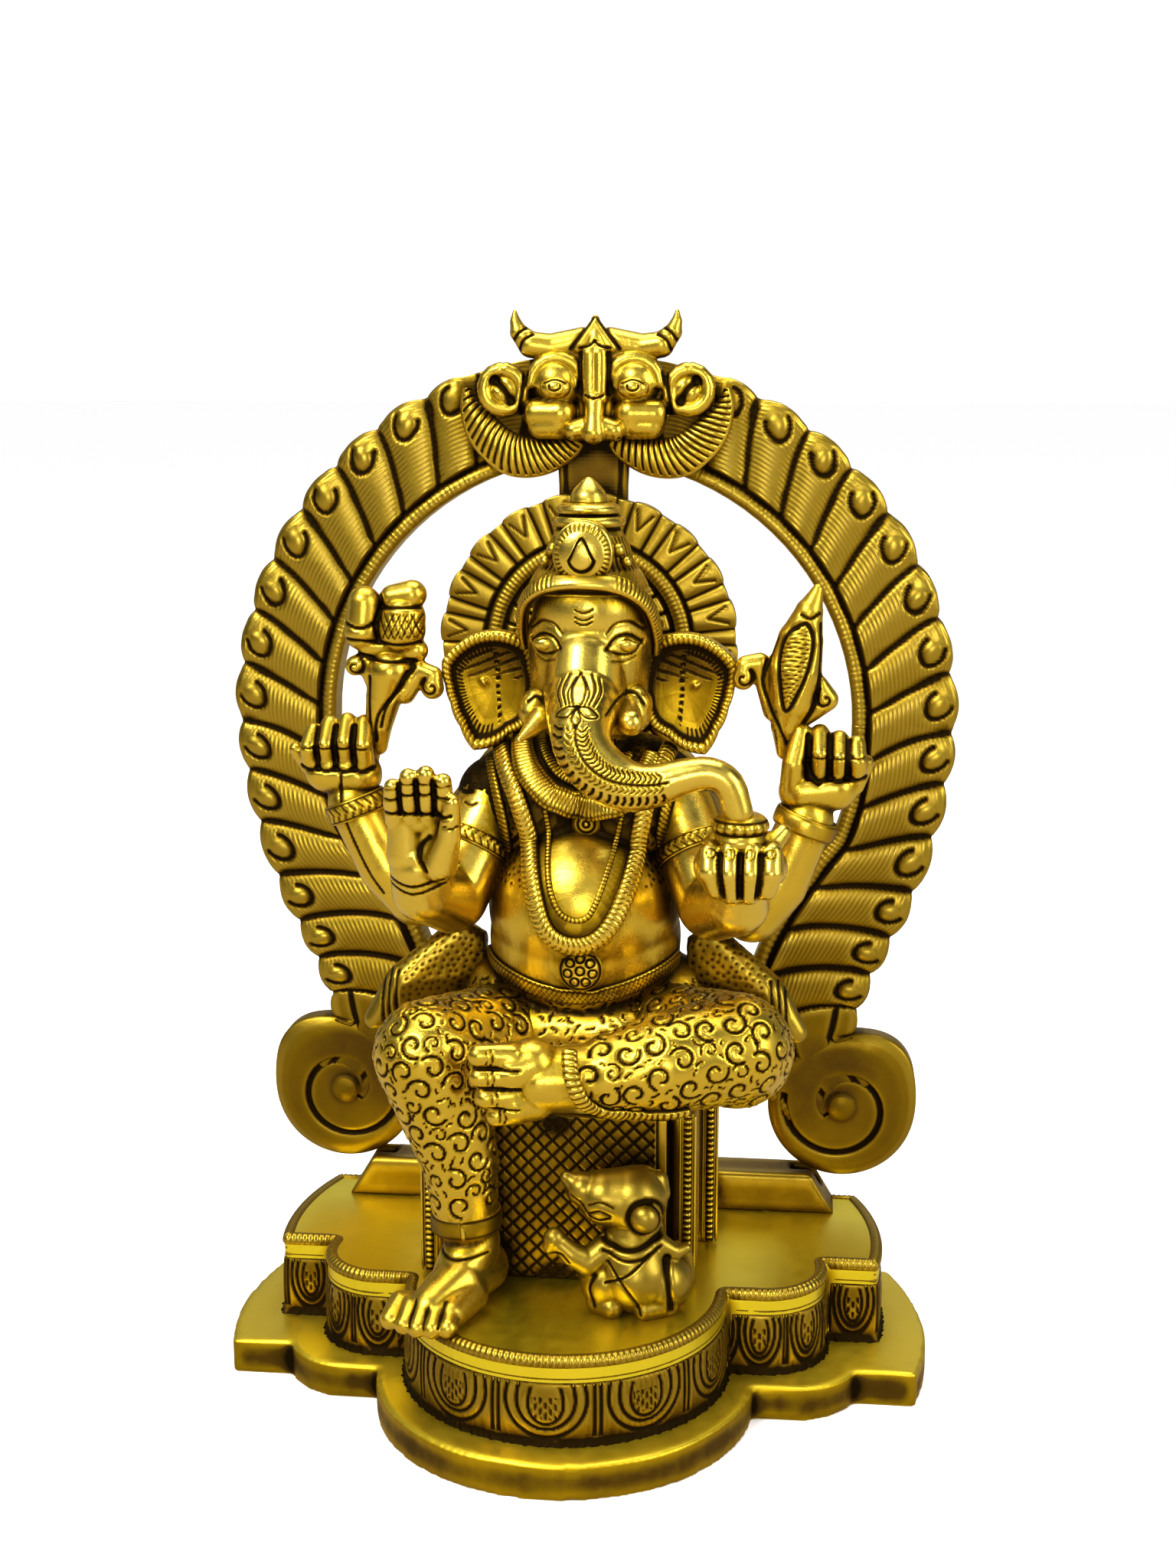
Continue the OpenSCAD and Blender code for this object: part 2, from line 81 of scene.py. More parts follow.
def place_camera():
    turn = math.radians(CAMERA_TURN)
    place = (math.sin(turn) * CAMERA_REACH, FIGURE_LINE - math.cos(turn) * CAMERA_REACH, CAMERA_HEIGHT)
    bpy.ops.object.camera_add(location=[v * MM for v in place],
                              rotation=(math.radians(90 - CAMERA_DOWN), 0, math.radians(CAMERA_PAN)))
    camera = bpy.context.active_object
    camera.name = "camera"
    camera.data.lens = 47.5
    camera.data.clip_start = 0.01
    bpy.context.scene.camera = camera
    print("camera at", [round(v) for v in place], "mm")


place_camera()

# %% [markdown]
# Brass is a mirror with a colour, so it shows whatever stands around it. A pale floor lights
# it from below, wide soft lamps give the long pale highlights, and a dim room between them
# gives the dark bands that make metal look like metal.

# %% Floor, room and lamps
def white_floor():
    bpy.ops.mesh.primitive_plane_add(size=40)
    floor = bpy.context.active_object
    floor.name = "floor"
    paint = bpy.data.materials.new("floor_paper")
    paint.use_nodes = True
    shader = paint.node_tree.nodes["Principled BSDF"]
    shader.inputs["Base Color"].default_value = (0.97, 0.965, 0.97, 1)
    shader.inputs["Roughness"].default_value = 0.9
    shader.inputs["Specular IOR Level"].default_value = 0.2
    tree = paint.node_tree
    ray, dim, mix = (tree.nodes.new(kind) for kind in ("ShaderNodeLightPath", "ShaderNodeBsdfDiffuse",
                                                       "ShaderNodeMixShader"))
    dim.inputs["Color"].default_value = (0.30, 0.26, 0.19, 1)
    tree.links.new(ray.outputs["Is Glossy Ray"], mix.inputs[0])
    tree.links.new(shader.outputs[0], mix.inputs[1])
    tree.links.new(dim.outputs[0], mix.inputs[2])
    tree.links.new(mix.outputs[0], tree.nodes["Material Output"].inputs["Surface"])
    floor.data.materials.append(paint)


def lamp(name, place, aim, size, watts, tint=(1, 1, 1)):
    bpy.ops.object.light_add(type="AREA", location=place)
    light = bpy.context.active_object
    light.name = name
    light.data.shape = "RECTANGLE"
    light.data.size, light.data.size_y = size
    light.data.energy = watts
    light.data.color = tint
    light.rotation_euler = (Vector(aim) - Vector(place)).to_track_quat("-Z", "Y").to_euler()


def room():
    """White to the eye, even to the floor, and patchy in reflections, as a real room is."""
    world = bpy.data.worlds.new("room")
    world.use_nodes = True
    bpy.context.scene.world = world
    tree = world.node_tree
    add, link = tree.nodes.new, tree.links.new
    ray = add("ShaderNodeLightPath")
    patches = add("ShaderNodeTexNoise")
    patches.inputs["Scale"].default_value = 1.7
    patches.inputs["Detail"].default_value = 0.0
    ramp = add("ShaderNodeValToRGB")
    ramp.color_ramp.elements[0].position = 0.38
    ramp.color_ramp.elements[0].color = (0.035, 0.03, 0.024, 1)
    ramp.color_ramp.elements[1].position = 0.66
    ramp.color_ramp.elements[1].color = (0.60, 0.58, 0.52, 1)
    way = add("ShaderNodeTexCoord")
    link(way.outputs["Generated"], patches.inputs["Vector"])
    link(patches.outputs["Fac"], ramp.inputs["Fac"])
    reflected = tree.nodes["Background"]
    link(ramp.outputs["Color"], reflected.inputs["Color"])
    even = add("ShaderNodeBackground")
    even.inputs["Color"].default_value = (1, 0.995, 1, 1)
    even.inputs["Strength"].default_value = 1.07
    mix = add("ShaderNodeMixShader")
    link(ray.outputs["Is Glossy Ray"], mix.inputs[0])
    link(even.outputs[0], mix.inputs[1])
    link(reflected.outputs[0], mix.inputs[2])
    link(mix.outputs[0], tree.nodes["World Output"].inputs["Surface"])


white_floor()
room()
lamp("key_lamp", (-0.45, -0.75, 0.95), (0, 0, 0.14), (0.40, 0.40), 13)
lamp("fill_lamp", (0.85, -0.45, 0.55), (0, 0, 0.15), (0.25, 0.7), 5)
lamp("top_lamp", (0.0, 0.1, 1.1), (0, 0, 0.1), (0.8, 0.5), 9)
lamp("front_lamp", (0.1, -1.3, 0.35), (0, 0, 0.15), (0.35, 0.25), 4)
bpy.context.scene.view_settings.view_transform = "Standard"

# %% [markdown]
# The finish is one idea in three strengths: golden metal, brown where the buff did not
# reach, black where the patina stayed in a cut. How deep each point lies is kept on the
# mesh in an attribute named for soot and shade, from 0 on a high spot to 1 in the bottom of
# a groove; the same attribute also carries painted shade, on parts in dim light and where
# pieces crowd each other.
# A small class wraps a node's socket, so that the shader reads as arithmetic.

# %% A wrapper for shader maths
class Wire:
    def __init__(self, tree, socket):
        self.tree, self.socket = tree, socket

    def node(self, kind, settings=None, **values):
        made = self.tree.nodes.new(kind)
        for key, value in (settings or {}).items():
            setattr(made, key, value)
        for key, value in values.items():
            name = key.replace("_", " ")
            where = made.inputs[int(key[1:])] if key[0] == "i" and key[1:].isdigit() else made.inputs[name]
            if isinstance(value, Wire):
                self.tree.links.new(value.socket, where)
            else:
                where.default_value = value
        return made

    def out(self, made, which=0):
        return Wire(self.tree, made.outputs[which])

    def maths(self, how, a, b):
        return self.out(self.node("ShaderNodeMath", {"operation": how}, i0=a, i1=b))

    def __add__(self, other):
        return self.maths("ADD", self, other)

    __radd__ = __add__

    def __mul__(self, other):
        return self.maths("MULTIPLY", self, other)

    __rmul__ = __mul__

    def __sub__(self, other):
        return self.maths("SUBTRACT", self, other)

    def __rsub__(self, other):
        return self.maths("SUBTRACT", other, self)

    def clipped(self):
        made = self.node("ShaderNodeMath", {"operation": "MULTIPLY", "use_clamp": True}, i0=self, i1=1.0)
        return self.out(made)

    def ramp(self, *stops):
        made = self.tree.nodes.new("ShaderNodeValToRGB")
        band = made.color_ramp
        while len(band.elements) < len(stops):
            band.elements.new(0.5)
        for element, (place, colour) in zip(band.elements, stops):
            element.position = place
            element.color = colour
        self.tree.links.new(self.socket, made.inputs["Fac"])
        return self.out(made)


def grey(value):
    return (value, value, value, 1)


# %% The brass finishes
def brass(name, bright, amber, shine, age, scratch=1.0, polish=1.0):
    """bright and amber colour the high and the mid parts; age is how much patina stays."""
    material = bpy.data.materials.new(name)
    material.use_nodes = True
    tree = material.node_tree
    shader = tree.nodes["Principled BSDF"]
    start = Wire(tree, None)
    place = start.out(start.node("ShaderNodeTexCoord"), "Object")
    soot_and_shade = start.out(start.node("ShaderNodeAttribute", {"attribute_name": "soot_and_shade"}), "Fac")

    def cloud(size, detail=3.0):
        return start.out(start.node("ShaderNodeTexNoise", Vector=place, Scale=size, Detail=detail), "Fac")

    blotch = cloud(38.0)
    mottle = cloud(260.0, 4.0)
    grain = cloud(1500.0, 2.0)
    hatch = start.out(start.node("ShaderNodeAttribute", {"attribute_name": "hatch"}), "Fac")
    hatched = start.out(start.node("ShaderNodeAttribute", {"attribute_name": "hatched"}), "Fac")
    stripe = start.out(start.node("ShaderNodeMath", {"operation": "SINE"}, i0=hatch * 6.2832)) * hatched
    # This darkness mixes real patina with painted shade, both read from the mesh attribute, and picks the colour on the
    # ramp below.
    dirt_and_shade = (soot_and_shade * age + (blotch - 0.5) * 0.34 + (mottle - 0.5) * 0.20 * (soot_and_shade + 0.12) + stripe * 0.10 + 0.03).clipped()
    black = (0.016, 0.009, 0.002, 1)
    umber = (0.115, 0.062, 0.006, 1)
    colour = dirt_and_shade.ramp((0.05, bright), (0.30, amber), (0.56, umber), (0.86, black))
    tree.links.new(colour.socket, shader.inputs["Base Color"])
    shader.inputs["Metallic"].default_value = 1.0
    rough = (dirt_and_shade * 0.34 + shine + (mottle - 0.5) * 0.16 + (blotch - 0.5) * 0.12).clipped()
    tree.links.new(rough.socket, shader.inputs["Roughness"])
    stretched = start.out(start.node("ShaderNodeMapping", None, Vector=place, Scale=(1.0, 6.0, 1.0)))
    brushed = start.out(start.node("ShaderNodeTexNoise", Vector=stretched, Scale=900.0, Detail=2.0), "Fac")
    height = grain * (0.30 * polish) + mottle * (0.8 * polish) + brushed * (0.45 * scratch) - stripe * 0.8
    bump = start.node("ShaderNodeBump", None, Strength=0.20, Distance=0.0004, Height=height)
    tree.links.new(bump.outputs[0], shader.inputs["Normal"])
    coat = (0.16 - dirt_and_shade * 0.4).clipped()
    tree.links.new(coat.socket, shader.inputs["Coat Weight"])
    shader.inputs["Coat Roughness"].default_value = 0.3
    print("finish", name, "has", len(tree.nodes), "nodes")
    return material


aged_brass = brass("aged_brass", (0.70, 0.485, 0.042, 1), (0.40, 0.24, 0.005, 1), 0.27, 1.0)
bright_brass = brass("bright_brass", (0.78, 0.565, 0.075, 1), (0.46, 0.29, 0.008, 1), 0.24, 0.95, 1.0, 0.45)
# This darker copy of the brass is for the arch, the halo, the plinth wall and the sashes, which stand in dim light at
# the back, low down and at the sides: painted shade.
dark_and_shaded_brass = brass("dark_and_shaded_brass", (0.40, 0.268, 0.021, 1), (0.22, 0.13, 0.0035, 1), 0.33, 1.0)
satin_brass = brass("satin_brass", (0.34, 0.23, 0.02, 1), (0.19, 0.115, 0.0035, 1), 0.36, 1.0)
brushed_brass = brass("brushed_brass", (0.80, 0.60, 0.03, 1), (0.50, 0.32, 0.004, 1), 0.40, 0.9, 1.6, 0.5)
# The plinth top takes a brighter copy of the brushed brass: painted light, for the light falling on the top from the
# lamps above.
lit_deck_brass = brass("lit_deck_brass", (0.97, 0.80, 0.03, 1), (0.62, 0.42, 0.004, 1), 0.33, 0.9, 1.6, 0.6)
plain_brass = brass("plain_brass", (0.55, 0.38, 0.09, 1), (0.40, 0.25, 0.04, 1), 0.36, 1.0)

# %% [markdown]
# Each blank starts from primitives at their size and place. Balls and tapered rods are
# joined, welded into one skin with a voxel remesh and relaxed, as wax is warmed and
# smoothed over its armature.

# %% Blanks from balls and rods
def pick(*obs):
    bpy.ops.object.select_all(action="DESELECT")
    for ob in obs:
        ob.select_set(True)
    bpy.context.view_layer.objects.active = obs[0]


def settle(ob):
    pick(ob)
    bpy.ops.object.transform_apply(location=True, rotation=True, scale=True)


def ball(at, r, squash=(1, 1, 1), turn=(0, 0, 0)):
    bpy.ops.mesh.primitive_uv_sphere_add(segments=48, ring_count=28, radius=r * MM,
                                         location=[v * MM for v in at],
                                         rotation=[math.radians(v) for v in turn])
    ob = bpy.context.active_object
    ob.scale = squash
    settle(ob)
    return ob


def rod(a, b, ra, rb=None):
    rb = ra if rb is None else rb
    start, end = Vector(a) * MM, Vector(b) * MM
    way = end - start
    bpy.ops.mesh.primitive_cone_add(vertices=48, radius1=ra * MM, radius2=rb * MM, depth=way.length,
                                    location=(start + end) / 2,
                                    rotation=way.to_track_quat("Z", "Y").to_euler())
    return bpy.context.active_object


def block(low, high, turn=(0, 0, 0)):
    low, high = Vector(low) * MM, Vector(high) * MM
    bpy.ops.mesh.primitive_cube_add(size=1, location=(low + high) / 2,
                                    rotation=[math.radians(v) for v in turn])
    ob = bpy.context.active_object
    ob.scale = high - low
    settle(ob)
    return ob


def limb(*run):
    """Balls [x, y, z, r] in a row, with tapered rods between them."""
    made = [ball(run[0][:3], run[0][3])]
    for a, b in zip(run, run[1:]):
        made += [rod(a[:3], b[:3], a[3], b[3]), ball(b[:3], b[3])]
    return made


def weld(name, blanks, grain, soften):
    pick(*blanks)
    if len(blanks) > 1:
        bpy.ops.object.join()
    ob = bpy.context.active_object
    settle(ob)
    skin = ob.modifiers.new("skin", "REMESH")
    skin.mode = "VOXEL"
    skin.voxel_size = grain * MM * COARSE
    skin.use_smooth_shade = True
    bpy.ops.object.modifier_apply(modifier=skin.name)
    if soften:
        relax = ob.modifiers.new("relax", "SMOOTH")
        relax.factor = 0.5
        relax.iterations = soften
        bpy.ops.object.modifier_apply(modifier=relax.name)
    ob.name = ob.data.name = name
    print(name, len(ob.data.polygons), "faces after welding")
    return ob


# %% [markdown]
# Chasing tools: a liner cuts a groove along a path, and a punch stamps a small pattern in
# the tangent plane of a chosen spot. Both push the surface in and leave soot where they cut.

# %% Chasing tools
def spots(ob):
    flat = np.empty(len(ob.data.vertices) * 3)
    ob.data.vertices.foreach_get("co", flat)
    return flat.reshape(-1, 3) / MM


def leaning(ob):
    flat = np.empty(len(ob.data.vertices) * 3)
    ob.data.vertex_normals.foreach_get("vector", flat)
    return flat.reshape(-1, 3)


def move_to(ob, where):
    ob.data.vertices.foreach_set("co", (where * MM).ravel())
    ob.data.update()


def soot_and_shade_of(ob):
    layer = ob.data.attributes.get("soot_and_shade") or ob.data.attributes.new("soot_and_shade", "FLOAT", "POINT")
    values = np.empty(len(ob.data.vertices))
    layer.data.foreach_get("value", values)
    return values


def set_soot_and_shade(ob, values):
    soot_and_shade_of(ob)
    ob.data.attributes["soot_and_shade"].data.foreach_set("value", values.astype(np.float32))


def path_distance(P, path):
    """Distance of every point to a run of points, whatever the number of coordinates."""
    best = np.full(len(P), 1e9)
    for a, b in zip(path[:-1], path[1:]):
        way = b - a
        share = np.clip((P - a) @ way / max(way @ way, 1e-9), 0, 1)
        best = np.minimum(best, ((P - a - share[:, None] * way) ** 2).sum(1))
    return np.sqrt(best)


def chase(ob, paths, width=0.45, depth=0.4, axes=(0, 1, 2), facing=None, soot_and_shade=1.0):
    """Cuts grooves. With axes=(0, 2) the paths are drawn in X and Z and thrown onto the skin."""
    P, N = spots(ob), leaning(ob)
    seen = np.ones(len(P), bool) if facing is None else N @ np.array(facing) > 0.15
    Q = P[:, axes]
    cut = np.zeros(len(P))
    for path in paths:
        path = np.array(path, float)
        low, high = path.min(0) - 3 * width, path.max(0) + 3 * width
        near = np.flatnonzero(seen & ((Q > low) & (Q < high)).all(1))
        if len(near):
            gap = path_distance(Q[near], path)
            cut[near] = np.maximum(cut[near], np.exp(-(gap / width) ** 2))
    move_to(ob, P - N * (cut * depth)[:, None])
    set_soot_and_shade(ob, np.maximum(soot_and_shade_of(ob), cut * soot_and_shade))


def curve(points, steps=8):
    """A smooth run through a few given points."""
    P = np.array(points, float)
    ends = np.vstack([2 * P[0] - P[1], P, 2 * P[-1] - P[-2]])
    out = []
    for a, b, c, d in zip(ends, ends[1:], ends[2:], ends[3:]):
        for t in np.arange(steps) / steps:
            out.append(0.5 * (2 * b + (c - a) * t + (2 * a - 5 * b + 4 * c - d) * t * t
                              + (3 * b - a - 3 * c + d) * t ** 3))
    return np.array(out + [P[-1]])


print("the bench is ready")


# %% [markdown]
# The plate is the foot of the idol: a flat casting with a wavy plan, filed and buffed on
# its edge until the corners went soft. The blank is the plain casting of the frame, welded
# into an even skin so that the corners round off, and made a little uneven.

# %% Finishing a piece
def wobble(P, size, seed=0.0):
    """A slow, seeded unevenness from -1 to 1, different in every direction."""
    x, y, z = (P / size).T
    return (np.sin(1.7 * x + 0.9 * y + seed) + np.sin(1.3 * y - 1.9 * z + 2 * seed)
            + np.sin(1.1 * z + 2.3 * x + 3 * seed)) / 3


def blank_of(node, name):
    """A loose, merged copy of a plain casting, to be worked on."""
    ob = bpy.data.objects.new(name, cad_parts[node].data.copy())
    bpy.context.scene.collection.objects.link(ob)
    pick(ob)
    bpy.ops.object.mode_set(mode="EDIT")
    bpy.ops.mesh.select_all(action="SELECT")
    bpy.ops.mesh.remove_doubles(threshold=1e-6)
    bpy.ops.mesh.normals_make_consistent(inside=False)
    bpy.ops.object.mode_set(mode="OBJECT")
    return ob


def seat_finish(ob, finish, *nodes, slot="patinated_brass"):
    ob.data.materials.clear()
    ob.data.materials.append(finish)
    if nodes:
        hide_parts(*nodes)
    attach(ob, "root")
    PIECES.append(ob)
    print(ob.name, "finished,", len(ob.data.polygons), "faces")


PIECES = []


def settle_soot(ob, sink=2.2, gain=1.0, floor=0.0, rounds=14):
    """Patina stays where the skin lies lower than its surroundings and leaves the high spots."""
    P, N = spots(ob), leaning(ob)
    edges = np.empty(len(ob.data.edges) * 2, int)
    ob.data.edges.foreach_get("vertices", edges)
    a, b = edges.reshape(-1, 2).T
    count = np.bincount(a, minlength=len(P)) + np.bincount(b, minlength=len(P))
    Q, total = P.copy(), np.zeros(len(P))
    for step in range(rounds):
        Q = np.stack([np.bincount(a, Q[b, k], len(P)) + np.bincount(b, Q[a, k], len(P))
                      for k in range(3)], 1) / count[:, None]
        if step in (3, rounds - 1):
            total += ((Q - P) * N).sum(1)
    # floor darkens the whole piece evenly; on the scrolls and the foot bar of the arch it is painted shade.
    values = np.clip(soot_and_shade_of(ob) + floor + np.clip(total * sink, -0.25, 0.75) * gain, 0, 1)
    set_soot_and_shade(ob, values)


# %% Base plate
plate = weld("base_plate_skin", [blank_of("base_plate", "plate_blank")], 0.95, 5)
P, N = spots(plate), leaning(plate)
side = np.abs(N[:, 2]) < 0.7
P[:, :2] += N[:, :2] * (wobble(P, 9.0) * 0.35 * side)[:, None]
top = (N[:, 2] > 0.7) & (P[:, 2] > 9)
P[:, 2] += wobble(P, 12.0, 1.0) * 0.18 * top
move_to(plate, P)
soot_and_shade_of(plate)
# The vertical sides of the plate are darkened: painted shade, as they face away from the lamps above.
set_soot_and_shade(plate, 0.60 * side * (P[:, 2] < 9.0))
settle_soot(plate, 0.6, 1.0, 0.03)
seat_finish(plate, brushed_brass, "base_plate")

# %% [markdown]
# The plinth stands on the plate. Its top edge is a milled bead, its wall carries a plain
# band, a scribed line and a row of lotus petals. The wall is one long strip bent round the
# plan, so that a place on it is simply a distance along the wall and a height.

# %% Plinth plan
PLINTH_TOP, PLINTH_FOOT = 34.0, 10.0


def top_outline(node, height):
    """The outer edge of a flat top, as an ordered run of X and Y in millimetres."""
    mesh = bmesh.new()
    mesh.from_mesh(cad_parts[node].data)
    bmesh.ops.remove_doubles(mesh, verts=mesh.verts, dist=1e-6)
    flat = {f for f in mesh.faces if f.normal.z > 0.99 and abs(f.calc_center_median().z / MM - height) < 0.05}
    after = {}
    for face in flat:
        for loop in face.loops:
            if not any(other in flat for other in loop.edge.link_faces if other is not face):
                after[loop.vert] = loop.link_loop_next.vert
    runs = []
    while after:
        here = start = next(iter(after))
        run = []
        while here in after:
            run.append(tuple(here.co.xy / MM))
            here = after.pop(here)
        runs.append(run)
    mesh.free()
    return np.array(max(runs, key=lambda run: np.ptp([x for x, y in run])))


def closed_run(points, count, soften):
    """Evenly spaced points on a closed outline, its corners softened."""
    loop = np.vstack([points, points[:1]])
    along = np.r_[0, np.cumsum(np.hypot(*np.diff(loop, axis=0).T))]
    even = np.linspace(0, along[-1], count, endpoint=False)
    run = np.stack([np.interp(even, along, loop[:, k]) for k in (0, 1)], 1)
    return ring_blur(run, soften * count / along[-1]), along[-1]


def ring_blur(values, sigma):
    reach = int(3 * sigma) + 1
    weight = np.exp(-0.5 * (np.arange(-reach, reach + 1) / max(sigma, 1e-3)) ** 2)
    weight /= weight.sum()
    return sum(w * np.roll(values, k - reach, 0) for k, w in enumerate(weight))


plan = top_outline("plinth", PLINTH_TOP)
turning = (plan[:, 0] * np.roll(plan[:, 1], -1) - plan[:, 1] * np.roll(plan[:, 0], -1)).sum()
if turning < 0:
    plan = plan[::-1]
print("plinth plan has", len(plan), "corners, counter-clockwise from above")

# %% Plinth wall
COLUMNS = int(1260 / COARSE)
run, around = closed_run(plan, COLUMNS, 0.7)
ahead = np.roll(run, -1, 0) - np.roll(run, 1, 0)
outward = np.stack([ahead[:, 1], -ahead[:, 0]], 1)
outward /= np.hypot(*outward.T)[:, None]
outward = ring_blur(outward, 1.6 * COLUMNS / around)
outward /= np.hypot(*outward.T)[:, None]

LOBE, WING = np.array([0, -9.0]), np.array([54.0, 10.0])
from_lobe = run - LOBE
from_wing = np.abs(run) * [1, 0] + run * [0, 1] - WING
on_lobe = np.hypot(*from_lobe.T) < 45.6
on_wing = ~on_lobe & (np.hypot(*from_wing.T) < 19)
along = np.cumsum(np.r_[0, np.hypot(*np.diff(run, axis=0).T)])
along = np.where(on_lobe, 44.5 * np.arctan2(from_lobe[:, 0], -from_lobe[:, 1]), along)
along = np.where(on_wing, 18 * np.arctan2(from_wing[:, 0], -from_wing[:, 1]), along)
pitch = np.where(on_lobe, 27.0, 14.5)

rim = [(-2.9, 33.9), (-2.6, 34.25), (-2.0, 34.62), (-1.3, 34.75), (-0.6, 34.6), (0.0, 34.2),
       (0.45, 33.6), (0.65, 32.9), (0.6, 32.2), (0.3, 31.6), (-0.2, 31.2)]
low_rows = np.arange(30.8, PLINTH_FOOT - 0.3, -0.44 * COARSE)
profile = np.array(rim + [(0.25, z) for z in low_rows])


def u_line(t, z, half, tall, low=22.8):
    round_part = np.abs(np.hypot(t / half, (z - low) / tall) - 1) * np.minimum(half, tall)
    return np.where(z > low, np.abs(t - half + 0.035 * (z - low) ** 2), round_part)


def petal_cut(t, z, pitch):
    t = np.abs((t + pitch / 2) % pitch - pitch / 2)
    cut = np.exp(-(u_line(t, z, 0.395 * pitch, 10.6) / 0.42) ** 2)
    cut = np.maximum(cut, np.exp(-(u_line(t, z, 0.285 * pitch, 8.2) / 0.40) ** 2))
    cut = np.maximum(cut, 0.8 * np.exp(-(u_line(t, z, 0.17 * pitch, 5.6, 21.6) / 0.36) ** 2) * (z < 26))
    cut = np.maximum(cut, np.exp(-((t - 0.47 * pitch) / 0.40) ** 2) * (z > 12.5))
    stroke = np.exp(-(((t + 0.65) % 1.3 - 0.65) / 0.30) ** 2) * (t < 0.14 * pitch)
    cut = np.maximum(cut, 0.6 * stroke * (z > 17.5) * (z < 23.5) * (np.sin(z * 2.1 + t * 3) > -0.35))
    return cut * (z < 27.2) * (z > 10.8)


off = np.repeat(profile[:, :1], COLUMNS, 1)
high = np.repeat(profile[:, 1:], COLUMNS, 1)
band = np.clip((high - 28.2) / 2.8, 0, 1)
off -= 0.45 * np.sin(math.pi * band)
belly = np.clip((high - 10.5) / 16.8, 0, 1)
off += 0.6 * np.sin(math.pi * belly) ** 0.6 * (high < 27.3)
scribe = np.exp(-((high - 27.8) / 0.45) ** 2) + np.exp(-((high - 31.1) / 0.40) ** 2)
cut = np.maximum(petal_cut(along[None, :], high, pitch[None, :]), np.clip(scribe, 0, 1))
seam = np.clip((12.2 - high) / 2.4, 0, 1)
ragged = wobble(np.stack([along, along * 0.7, along * 1.3], 1), 1.1) * 0.35
off += 1.7 * seam ** 1.8 * (1 + ragged[None, :]) - 0.5 * cut
tooth = 0.5 - 0.5 * np.cos(np.arange(COLUMNS) * 2 * math.pi / 4)
on_rim = (np.arange(len(profile)) < len(rim) - 1)[:, None] * (np.arange(len(profile)) > 0)[:, None]
off -= 0.30 * on_rim * tooth[None, :]
high = high - 0.18 * on_rim * tooth[None, :]
soot_and_shade = np.clip(0.9 * cut + 0.75 * seam * (0.75 + ragged[None, :]) + 0.35 * on_rim * tooth[None, :]
               + 0.20 * (high < 27.3), 0, 1)

bpy.ops.mesh.primitive_grid_add(x_subdivisions=COLUMNS, y_subdivisions=len(profile) - 1, size=1)
wall = bpy.context.active_object
wall.name = wall.data.name = "plinth_wall"
uv = spots(wall) * MM + 0.5
column = np.rint(uv[:, 0] * COLUMNS).astype(int) % COLUMNS
row = np.rint(uv[:, 1] * (len(profile) - 1)).astype(int)
flat = run[column] + outward[column] * off[row, column][:, None]
move_to(wall, np.c_[flat, high[row, column]])
set_soot_and_shade(wall, soot_and_shade[row, column])
bpy.ops.object.mode_set(mode="EDIT")
bpy.ops.mesh.select_all(action="SELECT")
bpy.ops.mesh.remove_doubles(threshold=2e-5)
bpy.ops.mesh.normals_make_consistent(inside=False)
bpy.ops.object.mode_set(mode="OBJECT")
bpy.ops.object.shade_smooth()
if leaning(wall)[np.argmin(spots(wall)[:, 1])][1] > 0:
    wall.data.flip_normals()
settle_soot(wall, 1.0)
seat_finish(wall, dark_and_shaded_brass)

deck = weld("plinth_deck", [blank_of("plinth", "plinth_blank")], 1.2, 2)
P, N = spots(deck), leaning(deck)
P[:, 2] += wobble(P, 14.0, 2.0) * 0.12 * (N[:, 2] > 0.8)
move_to(deck, P)
soot_and_shade_of(deck)
settle_soot(deck, 0.4, 1.0, 0.03)
seat_finish(deck, lit_deck_brass, "plinth")

# %% [markdown]
# The arch is one flat strip of feathers, bent into a ring that comes down into two legs.
# The same idea of a strip serves for the whiskers of the mask: a spine in
# the upright plane, a half width at each place of it, and a relief that is a function of
# the distance along the strip and the distance from its inner edge.

